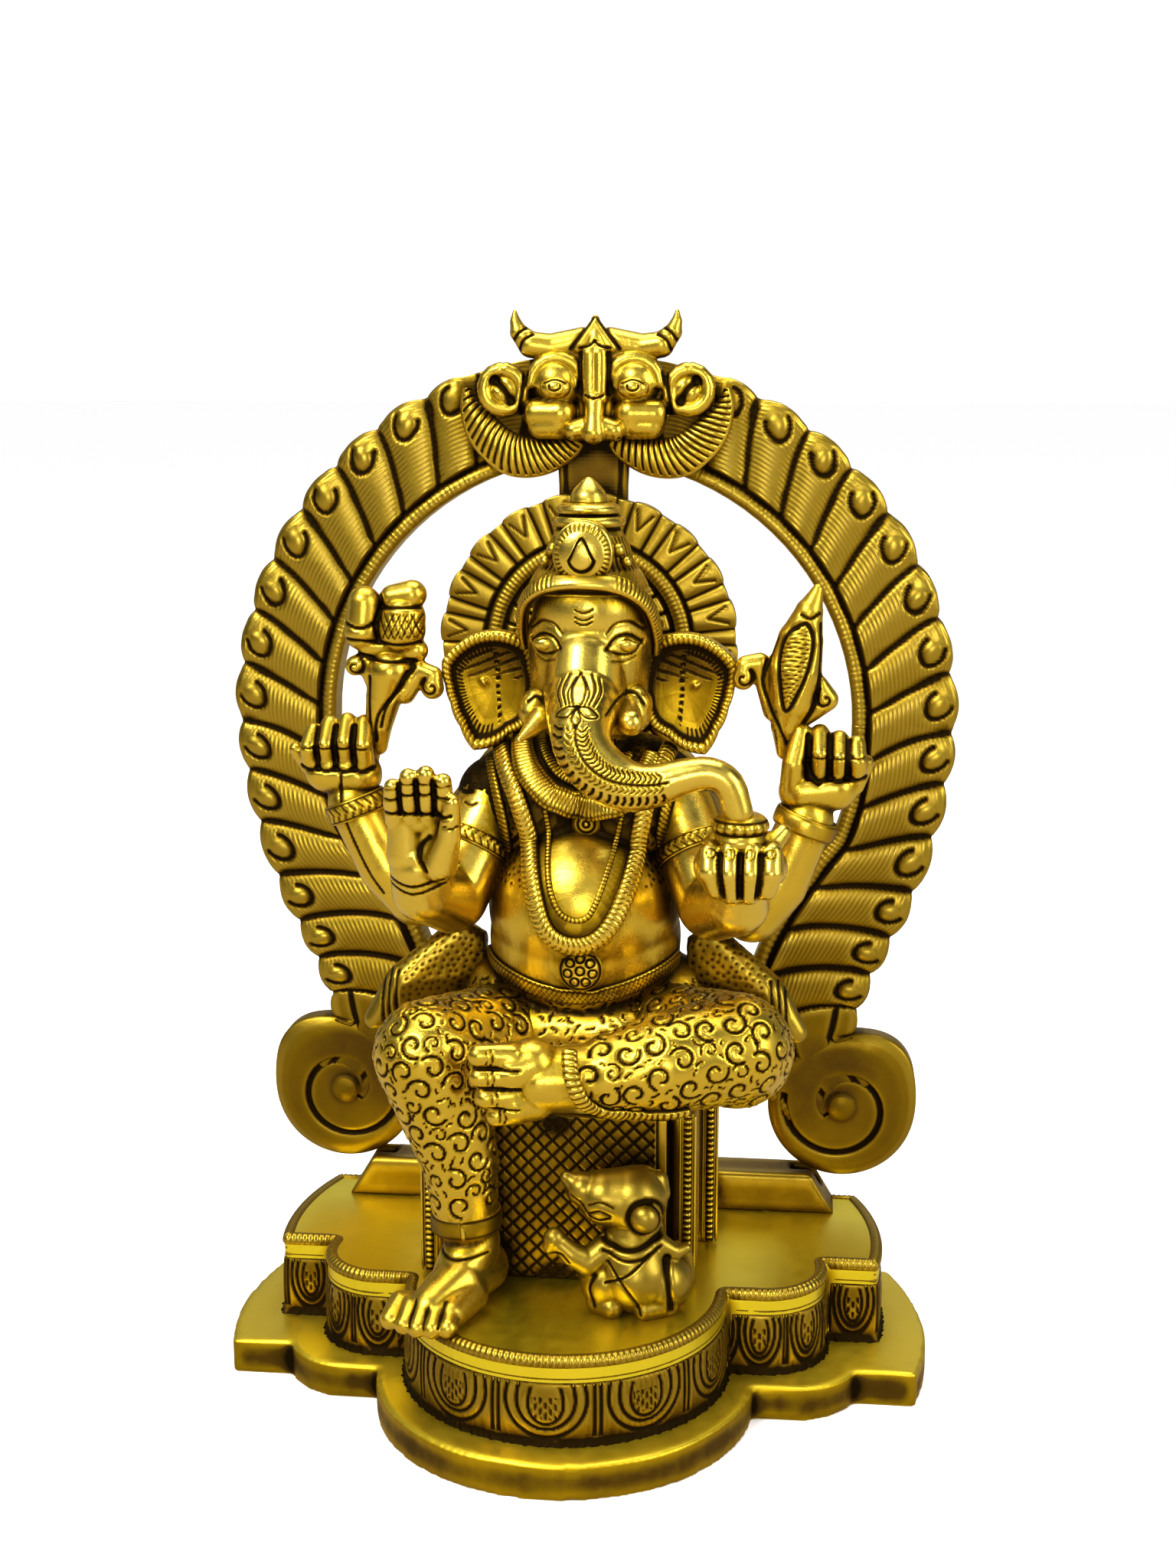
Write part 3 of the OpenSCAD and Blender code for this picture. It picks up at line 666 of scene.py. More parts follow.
# %% A strip with relief
def strip(name, spine, columns, rows, front, back, relief):
    """spine holds x, z and half width. relief(s, e, wide) gives depth, edge shift and soot."""
    spine = np.array(spine, float)
    length = np.r_[0, np.cumsum(np.hypot(*np.diff(spine[:, :2], axis=0).T))]
    columns, rows = int(columns / COARSE), int(rows / COARSE)
    even = np.linspace(0, length[-1], columns)
    x, z, half = (np.interp(even, length, spine[:, k]) for k in range(3))
    ahead = np.stack([np.gradient(x), np.gradient(z)], 1)
    ahead /= np.hypot(*ahead.T)[:, None]
    side_rows, back_rows = 4, 6
    t = np.r_[np.linspace(-1, 1, rows), np.ones(side_rows), np.linspace(1, -1, back_rows),
              -np.ones(side_rows)]
    share = np.r_[np.zeros(rows), np.linspace(0.15, 0.9, side_rows), np.ones(back_rows),
                  np.linspace(0.9, 0.15, side_rows)]
    total = len(t)
    bpy.ops.mesh.primitive_grid_add(x_subdivisions=columns - 1, y_subdivisions=total, size=1)
    ob = bpy.context.active_object
    ob.name = ob.data.name = name
    uv = spots(ob) * MM + 0.5
    c = np.rint(uv[:, 0] * (columns - 1)).astype(int)
    r = np.rint(uv[:, 1] * total).astype(int) % total
    wide = 2 * half[c]
    e = (t[r] + 1) / 2 * wide
    depth, edge, soot_and_shade, *lines = relief(even[c], e, wide)
    for key, values in zip(("hatch", "hatched"), lines):
        ob.data.attributes.new(key, "FLOAT", "POINT").data.foreach_set("value", values.astype(np.float32))
    reach = t[r] * half[c] + edge * t[r].clip(0, 1) ** 3
    y = front - depth
    y = y + (back - y) * share[r]
    X = x[c] - ahead[c, 1] * reach
    Z = z[c] + ahead[c, 0] * reach
    move_to(ob, np.stack([X, y, Z], 1))
    set_soot_and_shade(ob, soot_and_shade * (share[r] < 0.5))
    bpy.ops.object.mode_set(mode="EDIT")
    bpy.ops.mesh.select_all(action="SELECT")
    bpy.ops.mesh.remove_doubles(threshold=1e-5)
    bpy.ops.mesh.select_all(action="DESELECT")
    bpy.ops.mesh.select_non_manifold()
    bpy.ops.mesh.edge_face_add()
    bpy.ops.mesh.select_all(action="SELECT")
    bpy.ops.mesh.normals_make_consistent(inside=False)
    bpy.ops.object.mode_set(mode="OBJECT")
    bpy.ops.object.shade_smooth()
    return ob


def bump_between(x, low, high, power=0.6):
    """A rounded swelling over low..high, nothing outside."""
    share = np.clip((x - low) / (high - low), 0, 1)
    return np.sin(math.pi * share) ** power


# %% Arch
RING_X, RING_Z, RING_R = 0.0, 183.0, 91.25
ARCH_FRONT, ARCH_BACK = 54.0, 62.0
FEATHER_PITCH, FIRST_FEATHER = 14.4, 36.0
LEG = [(0.16, 0.05, 14.0), (0.32, 0.21, 14.2), (0.44, 0.46, 16), (0.58, 0.78, 17), (0.73, 1.0, 17),
       (0.86, 1.0, 16), (1.0, 0.6, 14)]


def arch_spine():
    ring = [(math.sin(a) * RING_R, RING_Z + math.cos(a) * RING_R, 14.75)
            for a in np.linspace(0, math.pi / 2, 24)]
    leg = [(RING_R - 28.25 * toward, RING_Z - 116 * drop, half) for drop, toward, half in LEG]
    right = np.vstack([ring[:-1], curve(ring[-1:] + leg)])
    left = right[::-1] * [-1, 1, 1]
    return np.vstack([left[:-1], right])


def feathers(s, e, wide):
    s = np.abs(s - ARCH_LENGTH / 2)
    t = np.clip((e - 5.2) / (wide - 5.2), 0, 1)
    lean = np.interp(s, [0, 140, 200], [9.5, 9.5, 13])
    q = (s - lean * (1 - t) ** 1.6 - FIRST_FEATHER) / FEATHER_PITCH + 0.5
    nearest = np.clip(np.floor(q), -1, 13)
    phase = np.clip(q - nearest, 0, 1)
    body = (e > 5.2)
    rib = bump_between(phase, 0, 1, 0.55)
    depth = body * (1.9 * rib + 0.5 * (1 - phase)) * np.interp(wide - e, [0, 1.2, 3], [0.35, 0.85, 1])
    groove = body * (np.exp(-(np.minimum(phase, 1 - phase) * FEATHER_PITCH / 0.75) ** 2))
    q_edge = (s - FIRST_FEATHER) / FEATHER_PITCH + 0.5
    phase_edge = q_edge - np.floor(q_edge)
    edge = 2.3 * bump_between(phase_edge, 0, 1, 0.7) - 1.2
    curl_s = (phase - 0.48) * FEATHER_PITCH
    curl_e = wide - e - 5.0
    r = np.hypot(curl_s, curl_e)
    angle = np.arctan2(curl_e, -curl_s)
    around = np.abs((angle - 2.3 + math.pi) % (2 * math.pi) - math.pi)
    ring = np.exp(-((r - 3.5) / 0.62) ** 2) * np.clip((2.35 - around) * 4, 0, 1)
    dome = np.clip(1 - (r / 2.6) ** 2, 0, 1)
    depth = depth + 0.55 * dome - 0.75 * ring * body
    bead = (e < 4.4)
    milled = 0.5 - 0.5 * np.cos(s * 0.88 * 2 * math.pi / 1.6)
    depth = depth + bead * (1.5 * bump_between(e, -0.4, 4.6) - 0.22 * milled)
    channel = np.exp(-((e - 4.9) / 0.6) ** 2)
    depth = depth - 0.5 * channel
    soot_and_shade = np.clip(groove + 0.9 * ring * body + channel + 0.2 * bead * milled, 0, 1)
    fade = np.clip((s - 30) / 4, 0.0, 1)
    hatch = e / 1.25 + 2.2 * (phase - 0.5) ** 2
    hatched = body * np.clip((r - 3.6) / 1.5, 0, 1) * np.clip(1.2 - 2.2 * np.abs(phase - 0.5), 0, 1)
    neck = body * (q > 14)
    flow = np.maximum(np.exp(-((t - 0.36) * wide / 0.8) ** 2), np.exp(-((t - 0.78) * wide / 0.8) ** 2))
    depth = depth + neck * (1.6 * bump_between(t, -0.04, 1.04, 0.4) - 0.6 * flow)
    soot_and_shade = np.where(neck > 0, 0.9 * flow, soot_and_shade)
    return depth * fade, edge * fade, soot_and_shade, hatch, hatched


spine = arch_spine()
ARCH_LENGTH = np.hypot(*np.diff(spine[:, :2], axis=0).T).sum()
arch = strip("arch_feathers", spine, 860, 60, ARCH_FRONT, ARCH_BACK, feathers)
P = spots(arch)
# The arch is darkened towards its bottom and towards the side away from the key lamp: painted shade.
arch_shade = np.clip((200 - P[:, 2]) / 110, 0, 1) + np.clip(P[:, 0] / 300, 0, 1)
set_soot_and_shade(arch, np.clip(soot_and_shade_of(arch) + 0.05 + 0.26 * arch_shade, 0, 1))
settle_soot(arch, 0.9)
seat_finish(arch, dark_and_shaded_brass, "arch")
print("arch strip is", round(ARCH_LENGTH), "mm long")


# %% Scrolls at the foot of the arch
def dial(name, middle, radius, front, back, relief, spokes=300, rings=70, edge=None, hold=6):
    """A round plate with relief, made from a disc of rings. relief(r, a) gives depth and soot.
    edge(a) moves the outline out; hold is how strongly the middle stays where it is."""
    spokes, rings = int(spokes / COARSE), int(rings / COARSE)
    radii = np.r_[np.linspace(0.02, 1, rings), 1.0, 1.0, 0.97, 0.02]
    share = np.r_[np.zeros(rings), 0.3, 0.85, 1.0, 1.0]
    total = len(radii)
    bpy.ops.mesh.primitive_grid_add(x_subdivisions=spokes, y_subdivisions=total - 1, size=1)
    ob = bpy.context.active_object
    ob.name = ob.data.name = name
    uv = spots(ob) * MM + 0.5
    c = np.rint(uv[:, 0] * spokes).astype(int) % spokes
    k = np.rint(uv[:, 1] * (total - 1)).astype(int)
    a = c * 2 * math.pi / spokes
    r = radii[k] * radius
    depth, soot_and_shade = relief(r, a)
    grow = (edge(a) if edge else 0.0) * radii[k] ** hold
    y = front - depth
    y = y + (back - y) * share[k]
    move_to(ob, np.stack([middle[0] + (r + grow) * np.sin(a), y, middle[1] + (r + grow) * np.cos(a)], 1))
    set_soot_and_shade(ob, soot_and_shade * (share[k] < 0.5))
    bpy.ops.object.mode_set(mode="EDIT")
    bpy.ops.mesh.select_all(action="SELECT")
    bpy.ops.mesh.remove_doubles(threshold=1e-5)
    bpy.ops.mesh.select_all(action="DESELECT")
    bpy.ops.mesh.select_non_manifold()
    bpy.ops.mesh.edge_face_add()
    bpy.ops.mesh.select_all(action="SELECT")
    bpy.ops.mesh.normals_make_consistent(inside=False)
    bpy.ops.object.mode_set(mode="OBJECT")
    bpy.ops.object.shade_smooth()
    return ob


def volute(hand):
    def relief(r, a):
        turn = (a * hand + 2.2) % (2 * math.pi)
        arm = 5.0 + turn * 1.75
        outer = 5.0 + (turn + 2 * math.pi) * 1.75
        gap = np.minimum(np.abs(r - arm), np.abs(r - outer) + 9 * (outer > 17.5))
        groove = np.exp(-(gap / 0.75) ** 2) * (r > 4)
        dome = np.clip(1 - (r / 4.5) ** 2, 0, 1)
        round_off = np.clip((r - 18) / 4, 0, 1) ** 2
        depth = 1.2 + 1.2 * dome - 1.0 * groove - 1.6 * round_off
        return depth, groove
    return relief


for hand, side_name in ((-1, "right_hand"), (1, "left_hand")):
    scroll = dial("arch_scroll_" + side_name, (hand * 76.0, 67.0), 22.0, ARCH_FRONT - 0.4, ARCH_BACK,
                  volute(hand), 230, 56, edge=lambda a: 3.4 * np.exp(
                      -(((a * hand + math.pi) % (2 * math.pi) - math.pi - 0.75) / 0.5) ** 2))
    # The scrolls get an even extra darkening of 0.36: painted shade, low at the back.
    settle_soot(scroll, 0.8, 1.0, 0.36)
    seat_finish(scroll, dark_and_shaded_brass)

foot = weld("arch_foot_bar", [blank_of("arch_foot", "foot_blank")], 1.1, 3)
P = spots(foot)
outer = np.clip((np.abs(P[:, 0]) - 58) / 19, 0, 1)
P[:, 0] -= np.sign(P[:, 0]) * outer * (2.5 + 0.6 * np.clip(P[:, 2] - 34, 0, 12))
move_to(foot, P)
soot_and_shade_of(foot)
# The foot bar gets an even extra darkening of 0.4: painted shade, low at the back.
settle_soot(foot, 0.8, 1.0, 0.4)
seat_finish(foot, dark_and_shaded_brass, "arch_foot")

# %% [markdown]
# The halo behind the head is a disc with three rings: rays that alternate one broad notched
# block and one thin bar, a milled ring, and a row of small square coins. It stands at the
# back in dim light and takes the darker brass, painted shade, so it stays browner.

# %% Halo
HALO_X, HALO_Z, HALO_R, HALO_FRONT = 0.0, 207.0, 43.0, 48.0
HALO_STEP = 2 * math.pi / 20


def halo_relief(r, a):
    phase = (a / HALO_STEP) % 1.0
    arc = HALO_STEP * r
    wide = 0.64
    broad = bump_between(phase, 0.0, wide, 0.25)
    thin = bump_between(phase, wide, 1.0, 0.4)
    rays = (r > 30.8)
    cut = np.minimum.reduce([phase, np.abs(phase - wide), 1 - phase]) * arc
    groove = np.exp(-(cut / 0.42) ** 2) * rays
    fork = np.abs(np.abs(phase - 0.31) * arc - 0.45 * (r - 35.5))
    mark = np.exp(-(fork / 0.42) ** 2) * (r > 35.0) * (r < 41.0) * rays
    depth = rays * (1.3 * broad + 0.9 * thin - 0.4 * mark)
    rope = bump_between(r, 25.2, 29.8, 0.5)
    milled = 0.5 - 0.5 * np.cos(a * 27.5 * 2 * math.pi / 1.35)
    depth = depth + rope * (1.5 - 0.25 * milled)
    coins = bump_between(r, 17.0, 24.0, 0.2)
    coin_phase = (a / (HALO_STEP * 0.75)) % 1.0
    split = np.exp(-(np.minimum(coin_phase, 1 - coin_phase) * HALO_STEP * 0.75 * r / 0.45) ** 2)
    ring = np.hypot((coin_phase - 0.5) * HALO_STEP * 0.75 * r, r - 20.6)
    dot = np.exp(-((ring - 1.3) / 0.35) ** 2)
    inside = (r > 16.5) & (r < 24.4)
    depth = depth + inside * (1.1 * coins - 0.9 * split - 0.4 * dot) + (r <= 16.5) * 0.9
    channels = np.exp(-((r - 30.4) / 0.5) ** 2) + np.exp(-((r - 24.8) / 0.45) ** 2)
    soot_and_shade = np.clip(groove + 0.4 * mark + channels + inside * (split + 0.6 * dot) + 0.25 * rope * milled
                   + 0.10, 0, 1)
    return depth, soot_and_shade


halo = dial("halo_disc", (HALO_X, HALO_Z), HALO_R, HALO_FRONT, HALO_FRONT + 4, halo_relief, 500, 84,
            edge=lambda a: 0.8 * bump_between((a / HALO_STEP) % 1.0, 0.0, 0.64, 0.5) - 0.5)
settle_soot(halo, 0.9)


def stem_relief(s, e, wide):
    cut = np.exp(-((np.minimum(e, wide - e) - 2.0) / 0.5) ** 2)
    return 0.8 * bump_between(e, 0, wide, 0.3) - 0.4 * cut, 0 * e, np.clip(0.5 + 0.4 * cut, 0, 1)


stem = strip("halo_stem", [(1, 246, 9.8), (1, 252, 9.8), (1, 266, 10.5)], 60, 40, 51.5, 55.5, stem_relief)
settle_soot(stem, 0.8)
seat_finish(stem, dark_and_shaded_brass)
seat_finish(halo, dark_and_shaded_brass, "halo")
print("arch and halo stand")


# %% [markdown]
# The figure is built in its own measure, from the middle of the seat: X to its left hand,
# Z up, and Y towards the arch. A strap is a cord or band that follows a path over the body;
# most of the jewellery, the belt, the hems and the rims are straps with cuts across them.

# %% Bench for the figure
BENCH = np.zeros(3)


def work_from(x, y, z):
    BENCH[:] = (x, y, z)


def on_bench(points):
    return np.array(points, float) + BENCH


def body_of_balls(name, groups, grain, soften):
    blanks = []
    for group in groups:
        P = [list(on_bench(p[:3])) + [p[3]] for p in group]
        blanks += limb(*P)
    return weld(name, blanks, grain, soften)


def lump(at, r, squash=(1, 1, 1), turn=(0, 0, 0)):
    return ball(on_bench(at), r, squash, turn)


def in_front(ob, x, z, start=-300.0):
    """Depth of the skin at X, Z as seen from the front."""
    x, z = x + BENCH[0], z + BENCH[2]
    hit, where, normal, face = ob.ray_cast(Vector((x, start, z)) * MM, Vector((0, 1, 0)))
    return (where.y / MM - BENCH[1], normal) if hit else (None, None)


def lay(ob, points, lift=0.0, steps=8):
    """Throws a run of X, Z onto the skin and returns it in three dimensions, with normals."""
    run = curve(points, steps)
    out, leans = [], []
    for x, z in run:
        y, normal = in_front(ob, x, z)
        if y is not None:
            out.append((x, y, z))
            leans.append(tuple(normal))
    out, leans = np.array(out), np.array(leans)
    for step in range(3):
        out[1:-1] = (out[:-2] + 2 * out[1:-1] + out[2:]) / 4
        leans[1:-1] = (leans[:-2] + 2 * leans[1:-1] + leans[2:]) / 4
    leans /= np.linalg.norm(leans, axis=1)[:, None]
    return out + leans * lift, leans


def strap(name, run, leans, half, thick, relief=None, pitch=0.35, around=20, closed=False):
    """A band along a run of points; relief(s, u, side) cuts it, u from -1 to 1 across."""
    run = on_bench(run)
    leans = np.array(leans, float) * np.ones_like(run)
    length = np.r_[0, np.cumsum(np.linalg.norm(np.diff(run, axis=0), axis=1))]
    count = max(8, int(length[-1] / (pitch * COARSE)))
    even = np.linspace(0, length[-1], count)
    C = np.stack([np.interp(even, length, run[:, k]) for k in range(3)], 1)
    N = np.stack([np.interp(even, length, leans[:, k]) for k in range(3)], 1)
    T = np.gradient(C, axis=0)
    T /= np.linalg.norm(T, axis=1)[:, None]
    N -= (N * T).sum(1)[:, None] * T
    N /= np.linalg.norm(N, axis=1)[:, None]
    B = np.cross(T, N)
    around = max(10, int(around / COARSE))
    bpy.ops.mesh.primitive_grid_add(x_subdivisions=count - 1, y_subdivisions=around, size=1)
    ob = bpy.context.active_object
    ob.name = ob.data.name = name
    uv = spots(ob) * MM + 0.5
    c = np.rint(uv[:, 0] * (count - 1)).astype(int)
    k = np.rint(uv[:, 1] * around).astype(int) % around
    a = k * 2 * math.pi / around
    u, v = np.sin(a), np.cos(a)
    u = np.sign(u) * np.abs(u) ** 0.75
    v = np.sign(v) * np.abs(v) ** 0.75
    depth, soot_and_shade = relief(even[c], u, v) if relief else (0 * u, 0 * u)
    wide = half if np.isscalar(half) else np.interp(even[c] / length[-1], *np.array(half).T)
    taper = 1.0 if closed else np.clip(np.minimum(even[c], length[-1] - even[c]) / (0.6 * thick), 0.05, 1) ** 0.5
    move_to(ob, C[c] + B[c] * (u * wide * taper)[:, None] + N[c] * ((v * thick - depth * (v > 0)) * taper)[:, None])
    set_soot_and_shade(ob, np.clip(soot_and_shade * (v > -0.2) + 0.7 * (np.abs(u) > 0.93) * (v < 0.3), 0, 1))
    tidy_strip()
    return ob


def tidy_strip():
    bpy.ops.object.mode_set(mode="EDIT")
    bpy.ops.mesh.select_all(action="SELECT")
    bpy.ops.mesh.remove_doubles(threshold=1e-5)
    bpy.ops.mesh.select_all(action="DESELECT")
    bpy.ops.mesh.select_non_manifold()
    bpy.ops.mesh.edge_face_add()
    bpy.ops.mesh.select_all(action="SELECT")
    bpy.ops.mesh.normals_make_consistent(inside=False)
    bpy.ops.object.mode_set(mode="OBJECT")
    bpy.ops.object.shade_smooth()


def milled(pitch, depth=0.35, slant=0.0, lines=0.0):
    """Cuts across a strap every pitch millimetres, slanted, with an optional edge line."""
    def relief(s, u, v):
        tooth = (0.5 - 0.5 * np.cos((s + slant * u) * 2 * math.pi / pitch)) ** 3
        edge = np.exp(-((np.abs(u) - 0.72) / 0.08) ** 2) * lines
        cut = np.maximum(tooth * (np.abs(u) < 0.95), edge)
        return depth * cut, 0.75 * cut
    return relief


def braided(pitch, depth=0.4):
    """Cuts that lean one way on one side of the middle and the other way on the other."""
    def relief(s, u, v):
        tooth = (0.5 - 0.5 * np.cos((s + 1.3 * np.abs(u)) * 2 * math.pi / pitch)) ** 3
        ridge = np.exp(-(u / 0.12) ** 2)
        cut = np.maximum(tooth * (np.abs(u) > 0.1), 0.3 * ridge)
        return depth * cut, 0.75 * cut
    return relief


def groove(ob, path, width=0.4, depth=0.35, soot_and_shade=1.0, facing=(0, -1, 0), steps=6):
    """One chased line, drawn in X and Z from the front."""
    run = curve(path, steps) + BENCH[[0, 2]]
    chase(ob, [run], width, depth, (0, 2), facing, soot_and_shade)


def groove_3d(ob, path, width=0.4, depth=0.35, soot_and_shade=1.0):
    chase(ob, [on_bench(curve(path, 6))], width, depth, (0, 1, 2), None, soot_and_shade)


def punch(ob, marks, where, seed, depth=0.45, soot_and_shade=1.0):
    """Strikes punches all over the part of the skin that where() accepts. Each mark is a
    drawing, its size and the room it keeps; the big ones go first, the small fill the gaps."""
    P, N = spots(ob), leaning(ob)
    luck = np.random.default_rng(seed)
    field = np.flatnonzero(where(P - BENCH, N))
    cut = np.zeros(len(P))
    middles, rooms = np.full((1, 3), 1e6), np.zeros(1)
    for draw, size, room in marks:
        for i in luck.permutation(field)[:5000]:
            if (((P[i] - middles) ** 2).sum(1) < (room + rooms) ** 2).any():
                continue
            middles, rooms = np.vstack([middles, P[i]]), np.append(rooms, room)
            d = P - P[i]
            near = np.flatnonzero((np.abs(d) < size * 1.5).all(1))
            d, n = d[near], N[i]
            u = np.cross(n, (0.0, 0.0, 1.0))
            u /= max(np.linalg.norm(u), 1e-6)
            p, q = d @ u / size, d @ np.cross(n, u) / size
            angle = luck.uniform(0, 2 * math.pi)
            a, b = p * math.cos(angle) + q * math.sin(angle), q * math.cos(angle) - p * math.sin(angle)
            mark = draw(a, b) * ((N[near] @ n) > 0.2)
            cut[near] = np.where(np.abs(mark) > np.abs(cut[near]), mark, cut[near])
    move_to(ob, P - N * (cut * depth)[:, None])
    set_soot_and_shade(ob, np.maximum(soot_and_shade_of(ob), np.clip(cut, 0, 1) * soot_and_shade))
    print(ob.name, "punched", len(rooms) - 1, "times")


def swirl(a, b):
    r, turn = np.hypot(a, b), np.arctan2(b, a)
    arm = 0.24 + 0.64 * (turn + math.pi) / (2 * math.pi)
    return np.exp(-((r - arm) / 0.10) ** 2) - 0.35 * np.exp(-((r - arm + 0.26) / 0.14) ** 2) * (r < 0.8)


def nick(a, b):
    r, turn = np.hypot(a + 0.7, b), np.arctan2(b, a + 0.7)
    return np.exp(-((r - 1.0) / 0.17) ** 2) * (np.abs(turn) < 0.75)


def dot_mark(a, b):
    return np.exp(-(np.hypot(a, b) / 0.6) ** 2)


CLOTH = [(swirl, 4.1, 3.4), (swirl, 2.9, 2.3), (nick, 1.6, 1.1), (nick, 1.1, 0.8)]
print("the bench is set for the figure")

# %% [markdown]
# The body sits heavily: a round belly between broad hips, a soft chest above. It is one
# casting, buffed on the belly and left dark between the jewellery, and given painted shade
# under the head and behind the arms.

# %% Torso
SEAT = (2.5, 24, 84)
work_from(*SEAT)
torso = body_of_balls("torso_skin", [
    [(-11, 0, 19, 21)], [(11, 0, 19, 21)], [(0, -8, 54, 27)], [(0, -6, 44, 27)],
    [(-12, -3, 82, 20)], [(12, -3, 82, 20)], [(0, -5, 92, 13), (1, -8, 106, 11)],
    [(-20, -2, 86, 12), (-25, -6, 84, 11)], [(20, -2, 86, 12), (25, -6, 84, 11)],
    [(-22, -4, 26, 13.5), (22, -4, 26, 13.5)], [(-14, -19, 19, 11.5), (12, -21, 19, 11.5)],
    [(0, -1, 22, 20), (0, -2, 56, 21), (0, -2, 88, 16)]], 0.65, 8)


def below_waist(P, N):
    return (P[:, 2] < 33) & (N[:, 1] < 0.3)


def shawl_part(P, N):
    return (P[:, 2] > 63) & (N[:, 1] < 0.3) & ((np.abs(P[:, 0] - 1.5) > 17) | (P[:, 2] > 84))


punch(torso, [(dot_mark, 0.75, 0.8)], shawl_part, 4, 0.3, 0.75)
punch(torso, [(nick, 1.8, 1.5), (nick, 1.1, 0.8)], below_waist, 5, 0.45, 0.8)
groove(torso, [(-13, 79), (-22, 70), (-26, 62)], 0.5, 0.5)
groove(torso, [(18, 80), (24, 72), (28, 62)], 0.5, 0.5)
P = spots(torso) - BENCH
# The upper chest under the head and the flanks behind the arms are darkened on the front: painted shade, with the
# patina left between the jewellery.
dark = np.clip((P[:, 2] - 72) / 8, 0, 1) * 0.55 + np.clip((40 - P[:, 2]) / 8, 0, 1) * 0.1
dark += np.clip((np.abs(P[:, 0]) - 22) / 6, 0, 1) * (P[:, 2] > 40) * 0.5
set_soot_and_shade(torso, np.clip(soot_and_shade_of(torso) + dark * (P[:, 1] < 6), 0, 1))
settle_soot(torso, 0.9)
seat_finish(torso, aged_brass, "torso")

# %% Garland, collars and belt
garland_run = [(-24, 100), (-17, 87.5), (-13.3, 75), (-11, 63.5), (-7, 52.5), (0.8, 49), (8.2, 52.8), (13.6, 64),
               (16.2, 77), (18.5, 88), (23, 98)]
run, leans = lay(torso, garland_run, 1.4)
garland = strap("garland_strand", run, leans, 2.6, 2.0, braided(1.5, 0.4), 0.33, 28)
settle_soot(garland, 1.0)
seat_finish(garland, bright_brass, "garland")
run, leans = lay(torso, [(-9.4, 84), (-8.3, 77), (-7, 64.5), (-3.2, 57), (3.4, 56.3), (7.3, 64.5), (10.2, 75),
                         (12, 83)], 0.3)
seat_finish(strap("inner_cord", run, leans, 0.8, 0.8, milled(1.1, 0.15)), aged_brass)
run, leans = lay(torso, [(-17.5, 103), (-15.5, 96), (-12, 90.5), (-7, 86.3), (-1, 84.3), (5, 84.2), (11, 85.5),
                         (16, 90), (19, 97)], 1.5)
seat_finish(strap("broad_collar", run, leans, [(0, 2.6), (0.3, 3.8), (0.6, 3.9), (1, 2.6)], 1.9,
                  milled(1.0, 0.3, 0.5, 0.8), 0.28, 28), bright_brass)
run, leans = lay(torso, [(-12, 103), (-9.5, 97), (-5, 92), (2, 90), (9, 92), (13, 98)], 0.4)
seat_finish(strap("upper_collar", run, leans, 1.7, 1.2, milled(0.9, 0.3), 0.28, 20), aged_brass)
run, leans = lay(torso, [(-28, 99), (-23, 88), (-20.5, 78), (-20, 70)], 0.5)
seat_finish(strap("shawl_edge_right", run, leans, 1.5, 1.1, milled(1.3, 0.3, 0.8)), aged_brass)
run, leans = lay(torso, [(28, 97), (24, 88), (22, 78), (22, 70)], 0.5)
seat_finish(strap("shawl_edge_left", run, leans, 1.5, 1.1, milled(1.3, 0.3, 0.8)), aged_brass)
run, leans = lay(torso, [(-33, 41.5), (-27, 39.6), (-20, 37.2), (-12, 35), (-4, 33.6), (4, 33.6), (12, 35),
                         (20, 37.4), (27, 40), (33, 42)], 0.3)
seat_finish(strap("belt", run, leans, 2.7, 1.2, milled(1.4, 0.3, 1.6, 0.9), 0.33, 26), aged_brass)


def punched_disc(r, a):
    x, y = r * np.sin(a), r * np.cos(a)
    soot_and_shade = np.exp(-((r - 5.4) / 0.35) ** 2)
    for k in range(8):
        turn = k * 2 * math.pi / 7
        reach = 3.5 if k < 7 else 0.0
        gap = np.hypot(x - reach * math.sin(turn), y - reach * math.cos(turn))
        soot_and_shade = np.maximum(soot_and_shade, np.exp(-((gap - 1.15) / 0.28) ** 2))
    return 2.4 * (1 - (r / 6.6) ** 4) - 0.4 * soot_and_shade, soot_and_shade


def boss(r, a):
    line = np.exp(-((r - 2.4) / 0.3) ** 2) + np.exp(-((r - 0.9) / 0.3) ** 2)
    return 2.6 * np.sqrt(np.clip(1 - (r / 4.4) ** 2, 0, 1)) - 0.3 * line, line


y, normal = in_front(torso, 1.6, 43)
pendant = dial("garland_pendant", (1.6 + SEAT[0], 41.5 + SEAT[2]), 6.0, SEAT[1] + y + 0.6, SEAT[1] + y + 3,
               punched_disc, 110, 34)
seat_finish(pendant, bright_brass, "pendant")
y, normal = in_front(torso, 2.0, 79)
seat_finish(dial("chest_jewel", (2.0 + SEAT[0], 79.5 + SEAT[2]), 4.2, SEAT[1] + y - 0.3, SEAT[1] + y + 2,
                 boss, 90, 26), aged_brass, "chest_boss")

# %% [markdown]
# Both legs wear tight trousers of figured cloth. The cloth is a field of small scroll
# punches, each struck at its own angle; the hems are milled straps, the feet are bare.

